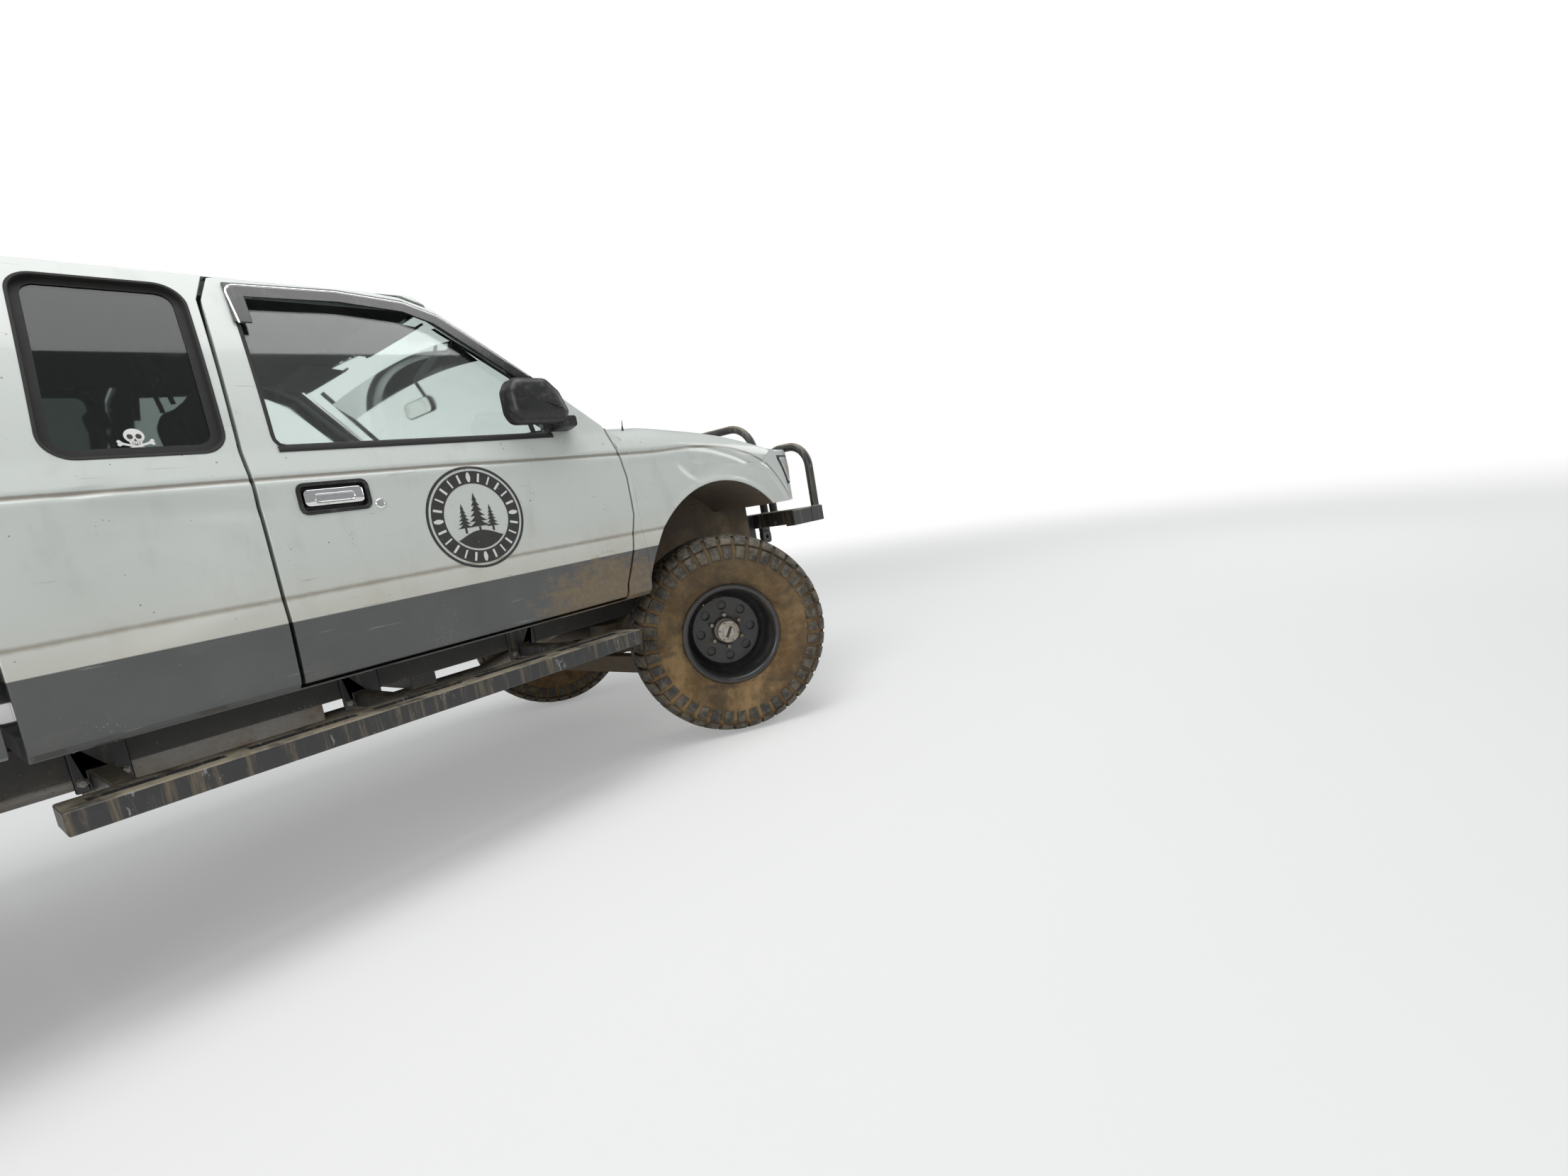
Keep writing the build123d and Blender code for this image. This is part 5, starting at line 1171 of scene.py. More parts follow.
class PICKUP_OT_lamps(bpy.types.Operator):
    """Wrap-round headlamps with black gasket, bowl, bulb, clear lens and amber corner; rear lamps in three colours"""

    bl_idname = "pickup.lamps"
    bl_label = "Lamps"

    def execute(self, context):
        form = Form()
        clear = lens("lamp_clear", 0.93, 0.95, 0.94, 260.0)
        amber = lens("lamp_amber", 0.90, 0.36, 0.02, 420.0, 0.10)
        red, white = lens("lamp_red", 0.50, 0.015, 0.015, 380.0, 0.15), lens("lamp_white", 0.85, 0.85, 0.83, 380.0)
        gasket, silver = dark_plastic("gasket", 0.016, 0.55), chrome()
        nose = Nose()
        u, v = surface_at(28, 14)
        # The gasket's way round the window, and how much broader it is at the rear and lower edge
        sides = ((30, (0, 0), (1, 0)), (12, (1, 0), (1, 1)), (30, (1, 1), (0, 1)), (12, (0, 1), (0, 0)))
        edge = np.concatenate([np.linspace(start, end, count)[:-1] for count, start, end in sides])
        broad = 1 + 0.8 * (edge.min(1) < 0.01)
        for letter, side in SIDES:
            spot, h = nose.window(u, v, 7.0)
            form.grid(nose.point(spot, h, 0.5 + 9.0 * 0.55 * dome(u, v, 0.6, 0.7), side), flip=side > 0)
            cover = form.piece("lamp_lens_" + letter, clear, "lamp_glass", 50.0, "body", ("headlamps",), outwards=False)
            cover.modifiers.new("thickness", "SOLIDIFY").thickness = 0.003
            loops = []
            for inset, out in ((-1.5, -9.0), (-1.5, 1.6), (1.0, 3.6), (5.5, 4.4), (7.6, 3.4), (7.6, -9.0)):
                spot, h = nose.window(*edge.T, inset * (broad if inset > 1 else 1))
                loops.append(nose.point(spot, h, out, side))
            form.loops(loops)
            form.piece("lamp_gasket_" + letter, gasket, "black_plastic", 30.0)
            spot, h = nose.window(u, v, 8.5)
            form.grid(nose.point(spot, h, -6 - 46 * dome(u, v, 0.5, 0.5), side), flip=side > 0)
            form.piece("lamp_bowl_" + letter, silver, "bright_trim", 30.0)
            form.turned([(0.5, 0), (8, 3), (11, 8), (11, 18), (9, 24), (4, 28), (0.5, 29)],
                        place(605, side * 560, 662), (0.8, side * 0.6, 0), 20)
            form.piece("lamp_bulb_" + letter, white, "lamp_glass", 60.0)
            # Amber corner over the lower rear of the lens: an ellipse of its window, swelled over it
            p, turn = surface_at(12, 18)
            turn = turn * 2 * np.pi
            a = 0.30 + 0.20 * (0.02 + p) * np.cos(turn) - 0.06 * p * np.sin(turn)
            b = 0.45 + 0.36 * (0.02 + p) * np.sin(turn)
            spot, h = nose.window(a, b, 7.0)
            out = 0.5 + 9.0 * 0.55 * dome(a, b, 0.6, 0.7) + 4.0 * (1 - p ** 6) - 0.8
            form.grid(nose.point(spot, h, out, side), (False, True), flip=side < 0)
            form.piece("lamp_corner_" + letter, amber, "lamp_glass", 50.0)

        # Rear lamps: three stacked lenses at each corner
        for letter, side in SIDES:
            for number, (low, high, colour) in enumerate(((504, 588, white), (592, 676, amber), (680, 766, red))):
                a, b = surface_at(14, 10)
                s = TAIL_S - 2.5 + 3.5 * (1 - np.sin(np.pi * a) ** 0.25 * np.sin(np.pi * b) ** 0.25)
                form.grid(place(s, side * (762 + 74 * a), low + (high - low) * b), flip=side < 0)
                a, b = surface_at(8, 10)
                h = low + (high - low) * b
                form.grid(place(TAIL_S + 38 * a, side * (np.minimum(flank_soft(h), 850) + 0.6), h), flip=side > 0)
                piece = form.piece(f"tail_lens_{number}_{letter}", colour, "tail_lens", 50.0,
                                   replaces=("tail_lamps",), outwards=False)
                piece.modifiers.new("thickness", "SOLIDIFY").thickness = 0.003
            a, b = surface_at(6, 6)
            form.grid(place(TAIL_S + 12, side * (760 + 76 * a), 500 + 270 * b), flip=side < 0)
            form.piece("tail_back_" + letter, gasket, "black_plastic", 30.0)
        return {"FINISHED"}


class PICKUP_OT_bumper(bpy.types.Operator):
    """Front bumper of folded plate with welded end wings, recovery tabs and three bent tube hoops"""

    bl_idname = "pickup.bumper"
    bl_label = "Front bumper"

    def execute(self, context):
        form = Form()
        black = bar_paint()
        for left, right, top, radius in HOOPS:
            rows = place(HOOP_S, [left, left, right, right], [450, top, top, 450])
            form.bar(even(bend(rows, radius / 1000, 10), 64), ring(21.0, 20), X)
            for leg in (left, right):
                form.bar(place(HOOP_S, leg, [452, 455, 458, 460]), ring(1.0, 20), X, [27.0, 25.5, 22.5, 20.5])
        form.piece("hoops", black, "black_steel", 40.0, replaces=("front_bumper",))

        form.bar(place(750, np.linspace(-760, 760, 24), BEAM_H), soft_box(100, 75, 5, 3))
        form.bar(place(817, np.linspace(-450, 450, 14), BEAM_H), soft_box(45, 75, 5, 3))
        for side in (-1, 1):
            form.bar(place(np.linspace(552, 704, 8), side * 732.5, BEAM_H), soft_box(55, 75, 4, 3))
            form.bar(place(np.linspace(560, 702, 6), side * 345, 347.5), soft_box(40, 215, 4, 3))
            # Recovery tab with its hole, one sheet on each face and a rim between
            ways = ring(1, 32)
            outline, hole = 34 * np.sign(ways) * np.abs(ways) ** 0.5 + (805, 325), 12 * ways + (805, 325)
            faces = ((hole, 330), (outline, 330), (outline, 355), (hole, 355))
            form.grid(np.stack([place(rows[:, 0], side * y, rows[:, 1]) for rows, y in faces]), (True, True))
            form.bar(place(805, side * 342.5, [355, 370, 384]), soft_box(25, 66, 2), X)
        form.piece("bumper_beam", black, "black_steel", 32.0, replaces=("front_bumper",))

        # Bolts through the beam: heads on washers, those under the middle plate nearly flush
        profile = [(15, 0), (15, 2.0), (11, 2.2), (10.5, 9), (8.5, 10.5), (0.5, 10.6)]
        flush = [(r, min(w, 1.4)) for r, w in profile]
        for side in (-1, 1):
            for s, y, rows in ((838.5, 345, flush), (800, 640, profile)):
                for h in (400, 436):
                    form.turned(rows, place(s, side * y, h), X, 6)
        form.piece("bumper_bolts", cast_steel("bolt_steel", 0.30, 0.45, 0.9), "black_steel", 20.0)
        return {"FINISHED"}


# Trim
def closed_loop(rows, radius, inset=0.0, count=96):
    """A closed outline of rows (s, h), drawn in by inset with mitred corners, then rounded and evenly spaced."""
    rows = np.array(rows, float)
    last = np.roll(rows, 1, 0)
    turn = rows - last
    area = 0.5 * np.sum(last[:, 0] * rows[:, 1] - rows[:, 0] * last[:, 1])
    inward, inward_next = (np.sign(area) * np.stack([-way[:, 1], way[:, 0]], -1)
                           for way in (unit(turn), unit(np.roll(turn, -1, 0))))
    share = inset / (1 + (inward * inward_next).sum(1))
    moved = rows + (inward + inward_next) * share[:, None]
    start = (moved[-1] + moved[0]) / 2
    return even(bend([start, *moved, start], max(radius - inset, 2.0), 8), count + 1)[:-1]


def on_flank(outline, out, side):
    """Rows (s, h) laid on the body's flank and moved out of it."""
    return place(outline[..., 0], side * (flank_soft(outline[..., 1]) + out), outline[..., 1])


def closed_in(loops):
    """Loops with one more that is the last one's middle, so that it ends the skin."""
    return [*loops, np.broadcast_to(loops[-1].mean(0), loops[-1].shape)]


def layered(outline, radius, count, levels, side):
    """Loops on the flank: an outline drawn in and moved out by each level (inset, out)."""
    return [on_flank(closed_loop(outline, radius, inset, count), out, side) for inset, out in levels]


def at_y(rows, y):
    """Rows (s, h) in the plane at y."""
    return place(rows[:, 0], y, rows[:, 1])


def box_rows(s0, s1, h0, h1):
    """Corners of a rectangle."""
    return [(s0, h0), (s1, h0), (s1, h1), (s0, h1)]


MIRROR = [(-752, 905), (-748, 940), (-772, 1008), (-815, 1050), (-935, 1050), (-962, 1010), (-962, 940), (-945, 905)]


class PICKUP_OT_mirrors(bpy.types.Operator):
    """Door mirrors: padded housing, glass in a bezel, and a foot with a hinge barrel"""

    bl_idname = "pickup.mirrors"
    bl_label = "Mirrors"

    def execute(self, context):
        form = Form()
        black, silver = dark_plastic("mirror_plastic", 0.014, 0.36), chrome()
        drawn = lambda inset: closed_loop(MIRROR, 34.0, inset, 72)
        # Housing: inset and y of each loop, from the bezel round to the padded front
        housing = [(0.0, 841), (0.5, 843), (0.0, 850), (0.0, 884), (3.0, 897), (9.0, 908), (19.0, 914.5), (31.0, 917.2),
                   (46.0, 917.8)]
        for letter, side in SIDES:
            door, node = "door_" + letter, ("mirror_" + letter,)
            layers = [at_y(drawn(8.0), side * 847), at_y(drawn(8.0), side * 841)]
            for inset, y in housing:
                loop = drawn(inset + 0.5)
                lean = 0.07 * np.maximum(loop[:, 1] - 940, 0) * ease(y, 880, 917)
                layers.append(at_y(loop, side * (y - lean)))
            form.loops(closed_in(layers))
            middle = place(-860, side * 874, 978)
            form.loops([middle + (at_y(drawn(-0.6), side * y) - middle) * (k, 1, k)
                        for y, k in ((872, 0.992), (872.6, 1.0), (875.4, 1.0), (876, 0.992))])
            form.piece("mirror_shell_" + letter, black, "black_plastic", 34.0, door, node)
            path = place(-733, side * np.array([768, 800, 822, 834, 846, 858, 869]), 910)
            form.bar(path, soft_box(82, 50, 12, 4), Z, [1.0, 1.0, 0.98, 0.92, 0.86, 0.80, 0.72])
            form.turned([(0.5, 27), (15, 26.5), (18, 24), (18, -24), (15, -26.5), (0.5, -27)],
                        place(-768, side * 852, 928), Z, 28)
            form.piece("mirror_foot_" + letter, black, "black_plastic", 34.0, door, node)
            form.loops(closed_in([at_y(drawn(9.0), side * 843.5), at_y(drawn(9.0), side * 842)]))
            form.piece("mirror_glass_" + letter, silver, "bright_trim", 20.0, door)
        return {"FINISHED"}


class PICKUP_OT_handles(bpy.types.Operator):
    """Door handles: bright paddle in a black dished recess with a lock barrel"""

    bl_idname = "pickup.handles"
    bl_label = "Door handles"

    def execute(self, context):
        form = Form()
        black, silver = dark_plastic("handle_black", 0.012, 0.4), chrome()
        s0, s1, h0, h1 = HANDLE_RECESS
        dish = [(-7, -0.6), (-6.4, 2.2), (-5, 3.0), (1.5, 3.2), (3.2, 2.2), (4.0, -1), (5.0, -21)]
        grip = [(0, -16), (0, -3), (1.2, -0.4), (3.5, 0.9), (9.0, 2.0), (15.0, 2.4)]
        slot = [(-2, 2.2), (-1.2, 3.3), (0.8, 3.3), (1.8, 2.4)]
        barrel = [(13.5, -3), (13.5, 1.2), (12.0, 2.6), (9.6, 2.8), (9.2, 1.6), (1.6, 1.6), (1.4, 0.4), (0.4, 0.4)]
        for letter, side in SIDES:
            door = "door_" + letter
            form.loops(closed_in(layered(box_rows(s0, s1, h0, h1), 14.0, 64, dish, side)))
            form.piece("handle_dish_" + letter, black, "black_plastic", 34.0, door, ("handle_" + letter,))
            form.loops(closed_in(layered(box_rows(s0 + 9, s1 - 9, h0 + 15, h1 - 12), 12.0, 64, grip, side)))
            form.loops(layered(box_rows(s0 + 34, s1 - 34, h0 + 24, h1 - 27), 6.0, 40, slot, side))
            form.piece("handle_paddle_" + letter, silver, "bright_trim", 30.0, door)
            form.turned(barrel, on_flank(np.array([-1398.0, 704.0]), 0.4, side), (0, side, 0), 32)
            form.piece("door_lock_" + letter, silver, "bright_trim", 30.0, door)
        return {"FINISHED"}


class PICKUP_OT_window_trim(bpy.types.Operator):
    """Rubber seals of the side windows, belt strips, rain guards with bright edges, and window dividers"""

    bl_idname = "pickup.window_trim"
    bl_label = "Window trim"

    def execute(self, context):
        form = Form()
        seal, black = rubber("window_rubber", 0.010), dark_plastic("guard_smoke", 0.010, 0.16)
        door_seal = [(-5.0, -0.6), (-4.4, 1.6), (-1.0, 2.4), (3.0, 1.8), (6.0, -3), (9.0, -12), (9.0, -17.5)]
        quarter_seal = [(-3.0, -0.6), (-2.6, 1.0), (0.5, 1.6), (3.5, 0.6), (5.0, -4), (6.0, -16.6), (24.0, -17.3)]
        strip = [(-7, -0.5), (-6.5, 2.0), (-3, 3.6), (3, 3.6), (8, 2.6), (11, -2)]
        guard = [(-1582, 1235), (-1584, 1350), (-1300, 1359), (-1108, 1342), (-1012, 1303), (-772, 1096)]
        belt = np.stack([np.linspace(-1604, -769, 60), np.full(60, 872.0)], -1)
        divider = np.stack([np.full(30, -830.0), np.linspace(880, 1132, 30)], -1)
        for letter, side in SIDES:
            door = "door_" + letter
            form.loops(layered(DOOR_WINDOW, 28.0, 160, door_seal, side))
            form.grid(np.stack([on_flank(belt + (0, up), out, side) for up, out in strip]))
            form.piece("door_seal_" + letter, seal, "black_plastic", 30.0, door)
            form.loops(layered(QUARTER_WINDOW, 55.0, 160, quarter_seal, side))
            form.piece("quarter_seal_" + letter, seal, "black_plastic", 30.0)
            skin("guard_skin_" + letter, "rain_guard_" + letter, (black,), "black_plastic", door, roll=0.0018)
            form.bar(on_flank(even(bend(guard, 26.0), 90) - (0, 8), 9.6, side), ring(3.2, 10, 0.55), (0, side, 0))
            form.piece("guard_edge_" + letter, chrome(), "bright_trim", 60.0, door)
            form.bar(on_flank(divider, -12, side), soft_box(16, 9, 3), (0, side, 0))
            form.piece("window_divider_" + letter, seal, "black_plastic", 30.0, door)
        return {"FINISHED"}


def ribbon(points, widths, across=2):
    """A flat strip along points (a, b) with a width at each, as a grid."""
    normal = -normals_of(points)
    return points + normal * np.asarray(widths)[:, None] * np.linspace(-0.5, 0.5, across)[:, None, None]


def disc(radius, squash=1.0, middle=(0, 0), inner=0.0, steps=49, rings=6):
    """A flat disc or ring as a grid."""
    turn = np.linspace(0, 2 * np.pi, steps)
    radii = np.linspace(max(inner, 0.01), radius, rings)[:, None]
    return np.stack([middle[0] + radii * np.cos(turn), middle[1] + radii * squash * np.sin(turn)], -1)


class Film:
    """Cut film on the flank round a middle: grids of rows (a, b) turned and laid out of it by their thickness."""

    def __init__(self, middle, side, surface):
        self.middle, self.side, self.surface = middle, side, surface

    def lay(self, form, rows, out, turn=0.0):
        """Lay one shape."""
        a, b = rows[..., 0], rows[..., 1]
        c, n = math.cos(turn), math.sin(turn)
        s, h = self.middle[0] + a * c - b * n, self.middle[1] + a * n + b * c
        form.grid(place(s, self.side * (self.surface(s, h) + out), h))

    def band(self, form, low, high, out):
        """Lay a strip between two lines."""
        self.lay(form, np.stack([np.asarray(low, float), np.asarray(high, float)]), out)


def petals():
    """Marks of the decal's ring with their turn: every sixth a leaf, the others bars of two widths."""
    for number in range(24):
        if number % 6 == 0:
            k = np.linspace(0.12, 0.88, 9)
            along, half = 104 + 39 * k, 7 * np.sin(np.pi * k)
        else:
            along = np.linspace(110, 137, 5)
            half = np.full(5, 2.6 + number % 2)
        yield np.stack([np.stack([along, -half], -1), np.stack([along, half], -1)], 1), number * np.pi / 12


class PICKUP_OT_stickers(bpy.types.Operator):
    """Round door decal with a tree line, and a skull with crossed bones on the quarter glass, of cut film"""

    bl_idname = "pickup.stickers"
    bl_label = "Stickers"

    def execute(self, context):
        black, white = vinyl("vinyl_black", 0.018, 0.018, 0.019), vinyl("vinyl_white", 0.72, 0.72, 0.70)
        for letter, side in SIDES:
            film = Film((-1125.0, 630.0), side, lambda s, h: side_soft(s, h, side < 0))
            form, marks = Form(), Form()
            film.lay(form, disc(158.0, 1.0, (0, 0), 150.0, 97, 3), 0.6)
            film.lay(form, disc(143.0, 1.0, (0, 0), 104.0, 97, 7), 0.6)
            for petal, turn in petals():
                film.lay(marks, petal, 0.95, turn)
            # Three firs, each of stepped skirts on a trunk, over a rounded hill line
            for foot, base, tall in ((-44, -46, 92), (2, -52, 128), (46, -48, 84)):
                levels = 6
                for level in range(levels):
                    top, low = (base + tall * (0.18 + 0.82 * (level + step) / (levels + 0.55)) for step in (1.55, 0))
                    half = tall * 0.27 * (1 - level / (levels + 0.6))
                    k = np.linspace(0.02, 1, 7)
                    h = low + (top - low) * (1 - k) - 2.5 * np.sin(np.pi * k)
                    rows = np.stack([np.stack([foot - half * k, h], -1), np.stack([foot + half * k, h], -1)], 1)
                    film.lay(form, rows, 0.6 + 0.03 * level)
                film.band(form, [(foot - 3.5, base), (foot + 3.5, base)],
                          [(foot - 3.5, base + 22), (foot + 3.5, base + 22)], 0.62)
            x = np.linspace(-92, 92, 47)
            low = -np.sqrt(98**2 - x * x)
            hill = np.maximum(-50 + 9 * np.cos(x / 31) - 0.0016 * x * x, low)
            film.band(form, np.c_[x, hill], np.c_[x, low], 0.64)
            form.piece("door_decal_" + letter, black, "black_plastic", 20.0, "door_" + letter, merge=0.0)
            marks.piece("decal_marks_" + letter, white, "white_paint", 20.0, "door_" + letter, merge=0.0)

        skull, holes, lift = Form(), Form(), -17.6
        film = Film((-1879.0, 917.0), -1, lambda s, h: flank_soft(h))
        film.lay(skull, disc(19.0, 0.94, (0, 9)), lift)
        jaw = closed_loop([(-11, -12), (11, -12), (13, 4), (-13, 4)], 4.0, 0.0, 40)
        film.band(skull, jaw * 0.02 + (0, -4), jaw, lift)
        for tilt in (-1, 1):
            line = np.stack([np.linspace(-30, 30, 25), tilt * np.linspace(-9.5, 9.5, 25) - 17], -1)
            film.lay(skull, ribbon(line, 5.2 + 4.6 * bell(np.abs(line[:, 0]) - 28, 3.0)), lift + 0.1 * tilt)
            for end in (-1, 1):
                for knob in (-1, 1):
                    spot = (end * 30.5, tilt * end * 9.7 - 17 + knob * 3.6)
                    film.lay(skull, disc(3.9, 1.0, spot, 0, 17, 3), lift + 0.15)
        for end in (-1, 1):
            film.lay(holes, disc(5.6, 1.1, (end * 8.0, 7.5), 0, 25, 3), lift + 0.4)
        film.band(holes, [(-0.3, 2.5), (0.3, 2.5)], [(-3.0, -3.5), (3.0, -3.5)], lift + 0.4)
        for tooth in (-6.4, -2.1, 2.1, 6.4):
            rows = np.array([(tooth - 0.5, -6.0), (tooth + 0.5, -6.0)])
            film.band(holes, rows, rows - (0, 6), lift + 0.4)
        skull.piece("skull_sticker", white, "white_paint", 20.0, merge=0.0)
        holes.piece("skull_holes", black, "black_plastic", 20.0, merge=0.0)
        return {"FINISHED"}


# Cabin. Windscreen: its foot (s, h), slope, and sag with y squared
SCREEN_S, SCREEN_H, SCREEN_SLOPE, SCREEN_SAG = -476.0, 999.0, math.radians(38.1), 95.0 / 700.0**2
# Dashboard's side outline (s, h), and its vents: y, width, h, height
DASH = [(-531, 868), (-690, 862), (-742, 836), (-760, 800), (-756, 740), (-740, 660), (-690, 606), (-640, 560),
        (-531, 560)]
VENTS = ((-560, 120, 800, 52), (-90, 110, 806, 48), (70, 110, 806, 48), (590, 100, 800, 52))


def screen_point(up, y, out=0.0):
    """Point of the windscreen: foot + up along its slope, sagging with y squared, moved out of it."""
    up, y = np.asarray(up, float), np.asarray(y, float)
    deep = SCREEN_SAG * y * y - out
    c, n = math.cos(SCREEN_SLOPE), math.sin(SCREEN_SLOPE)
    return place(SCREEN_S - up * c - deep * n, y, SCREEN_H + up * n - deep * c)


def pad_mesh(width, long, thick, crown, rows=40, columns=54):
    """A closed pad (x along, y across, z out) with a rounded plan, its face crowned as (1 - a a)(1 - b b)."""
    a, b = np.linspace(-1, 1, rows)[:, None], np.linspace(-1, 1, columns)[None, :]
    edge = np.clip((1 - np.abs(a) ** 7) * (1 - np.abs(b) ** 7), 0, 1) ** 0.32
    x = a * np.sqrt(1 - 0.05 * np.abs(b) ** 5.2) * (1 - 0.025 * (1 - b * b)) * long / 2
    y = b * np.sqrt(1 - 0.05 * np.abs(a) ** 5.2) * (1 - 0.012 * (1 - a * a)) * width / 2
    high = thick / 2 * edge + crown * (1 - a * a) * (1 - b * b)
    points = np.stack([np.stack([x, y, high], -1), np.stack([x, y, -thick / 2 * edge], -1)]).reshape(-1, 3) / 1000
    faces = np.concatenate([grid_faces(rows, columns), grid_faces(rows, columns, flip=True) + rows * columns])
    mesh = bpy.data.meshes.new("pad")
    mesh.from_pydata(points.tolist(), [], faces.tolist())
    return welded(mesh, 0.0006)


def applied(mesh, kind, frames=0, **settings):
    """The mesh as one modifier leaves it, after the given number of frames where it moves."""
    scene = bpy.context.scene
    thing = bpy.data.objects.new("pad", mesh)
    scene.collection.objects.link(thing)
    modifier = thing.modifiers.new("change", kind)
    for name, value in settings.items():
        setattr(modifier, name, value)
    if kind == "CLOTH":
        cloth = modifier.settings
        cloth.use_pressure, cloth.uniform_pressure_force, cloth.effector_weights.gravity = True, 4.0, 0.0
        modifier.point_cache.frame_start, modifier.point_cache.frame_end = 1, frames
    for frame_number in range(1, frames + 1):
        scene.frame_set(frame_number)
    result = bpy.data.meshes.new_from_object(thing.evaluated_get(bpy.context.evaluated_depsgraph_get()))
    bpy.data.objects.remove(thing)
    scene.frame_set(1)
    return result


def sewn_pad(width, long, thick, crown, channels, voxel, cap=0.024):
    """A pad swelled by cloth under pressure: travel d becomes cap tanh(|d| / cap), then channels sink its face."""
    slack = pad_mesh(width - 24, long - 24, thick - 34, 0.5 * crown)
    start = applied(slack, "REMESH", mode="VOXEL", voxel_size=voxel)
    rest = read(start.vertices, "co")
    moved = read(applied(start.copy(), "CLOTH", 20).vertices, "co") - rest
    travel = np.linalg.norm(moved, axis=1, keepdims=True) + 1e-9
    start.vertices.foreach_set("co", (rest + moved / travel * cap * np.tanh(travel / cap)).reshape(-1))
    mesh = applied(start, "SUBSURF", levels=1, render_levels=1)
    points = read(mesh.vertices, "co")
    a, b = points[:, 0] * 2000 / long, points[:, 1] * 2000 / width
    sunk = sum(depth * bell((b if along else a) - spot, 0.035) for spot, along, depth in channels)
    face = ease(points[:, 2], 0.004, thick / 3000) * ease(np.maximum(np.abs(a), np.abs(b)), 1.0, 0.90)
    return mesh, points - (sunk * face / 1000)[:, None] * Z


def set_pad(name, pad, middle, tilt, fabric):
    """Lays a copy of a pad in the cab: its face turned back by tilt about Y, its middle at a station."""
    mesh, points = pad[0].copy(), pad[1]
    c, n = math.cos(math.radians(tilt)), math.sin(math.radians(tilt))
    x, y, z = points.T
    mesh.vertices.foreach_set("co", (place(*middle) + np.stack([x * c - z * n, y, x * n + z * c], -1)).reshape(-1))
    mesh.materials.clear()
    mesh.materials.append(fabric)
    mesh.name = name
    settle(mesh, name, "seat_fabric", 60.0, replaces=("seats",))


class PICKUP_OT_seats(bpy.types.Operator):
    """Two front seats: crowned cushions and backs with sewn channels, piped bolsters, head rests and a base"""

    bl_idname = "pickup.seats"
    bl_label = "Seats"

    def execute(self, context):
        form = Form()
        fabric, side_cloth = cloth("seat_cloth", 0.085), cloth("bolster_cloth", 0.045)
        plastic = dark_plastic("seat_plastic", 0.03, 0.5)
        bolsters = [(-0.52, True, 8.0), (0.52, True, 8.0)]
        base, back = ([(spot, False, 6.0) for spot in spots] + bolsters
                      for spots in ((-0.45, -0.1, 0.25, 0.6), (-0.6, -0.25, 0.1, 0.45)))
        base_pad = sewn_pad(462, 470, 104, 14, base, 0.0105)
        back_pad = sewn_pad(452, 560, 88, 13, back, 0.0105)
        head_pad = sewn_pad(262, 116, 66, 9, [(0.0, True, 2.0)], 0.008, 0.012)
        for letter, side in SIDES:
            middle = side * 402.5
            set_pad("seat_cushion_" + letter, base_pad, (-1325, middle, 512), 4.0, fabric)
            set_pad("seat_back_" + letter, back_pad, (-1632, middle, 842), 103.0, fabric)
            set_pad("head_rest_" + letter, head_pad, (-1728, middle, 1178), 99.0, side_cloth)
            for y in (middle - 150, middle + 150):
                form.bar(place(np.linspace(-1640, -1130, 8), y, 322), soft_box(34, 22, 4))
                for s in (-1600, -1170):
                    form.bar(place(s, y, [302, 380, 452]), soft_box(30, 40, 4), X)
            form.bar(place(np.linspace(-1560, -1110, 6), middle, 446), soft_box(380, 22, 8, 3))
            for y in (middle - 60, middle + 60):
                form.bar(place([-1714, -1722, -1732], y, [1060, 1110, 1160]), ring(6, 10), X)
            form.piece("seat_base_" + letter, plastic, "cabin_trim", 34.0, replaces=("seats",))
        return {"FINISHED"}


def dashboard(plastic, dark):
    """Dash shell bowed back in the middle of each half, with vents, glove box, knobs and dials."""
    form = Form()
    outline = even(bend(DASH, 22.0, 5), 60)
    s, h = outline.T
    y = np.linspace(-680, 680, 90)[:, None]
    bow = 9 * np.cos(y / 680 * np.pi) * ease(s, -600, -740)
    hood = 24 * np.exp(-(((y - 370) / 170) ** 4)) * ease(h, 800, 850) * ease(s, -560, -640)
    form.tube(place(s + bow, y, h + hood))
    form.piece("dash_shell", plastic, "cabin_trim", 40.0, replaces=("dashboard",))
    for y, wide, h, tall in VENTS:
        for slat in range(5):
            form.bar(place(-766 + 0.2 * abs(slat - 2), np.linspace(y - wide / 2, y + wide / 2, 6),
                           h - tall / 2 + 6 + slat * (tall - 12) / 4), soft_box(10, 4, 1.5))
        for edge in (-1, 1):
            post = place(-764, y + edge * (wide / 2 + 2), np.linspace(h - tall / 2, h + tall / 2, 4))
            form.bar(post, soft_box(6, 12, 1.5), X)
    box, inner = (closed_loop(box_rows(-520, -270, 640, 745), 16.0, inset, 60) for inset in (0.0, 3.0))
    form.loops([place(s, *rows.T) for rows, s in
                ((box, -738), (box, -757), (inner, -759.5), (inner * 0.02 + (-387, 679), -760))])
    for y in (-80, -10, 60):
        form.turned([(15, 0), (15, 12), (12, 17), (0.5, 17.5)], place(-752, y, 700), (-1, 0, 0.08), 24)
    form.piece("dash_details", dark, "cabin_trim", 30.0)
    for y, h, r in ((300, 822, 52), (430, 822, 52), (365, 782, 26)):
        profile = [(r + 4, -3), (r + 3, 3), (r, 3.5), (r - 3, 1), (0.5, 1.2)]
        form.turned(profile, place(-762, y, h), (-1, 0, 0.25), 36)
    form.piece("dash_dials", lens("dial_glass", 0.05, 0.06, 0.06, 10.0), "cabin_trim", 30.0)


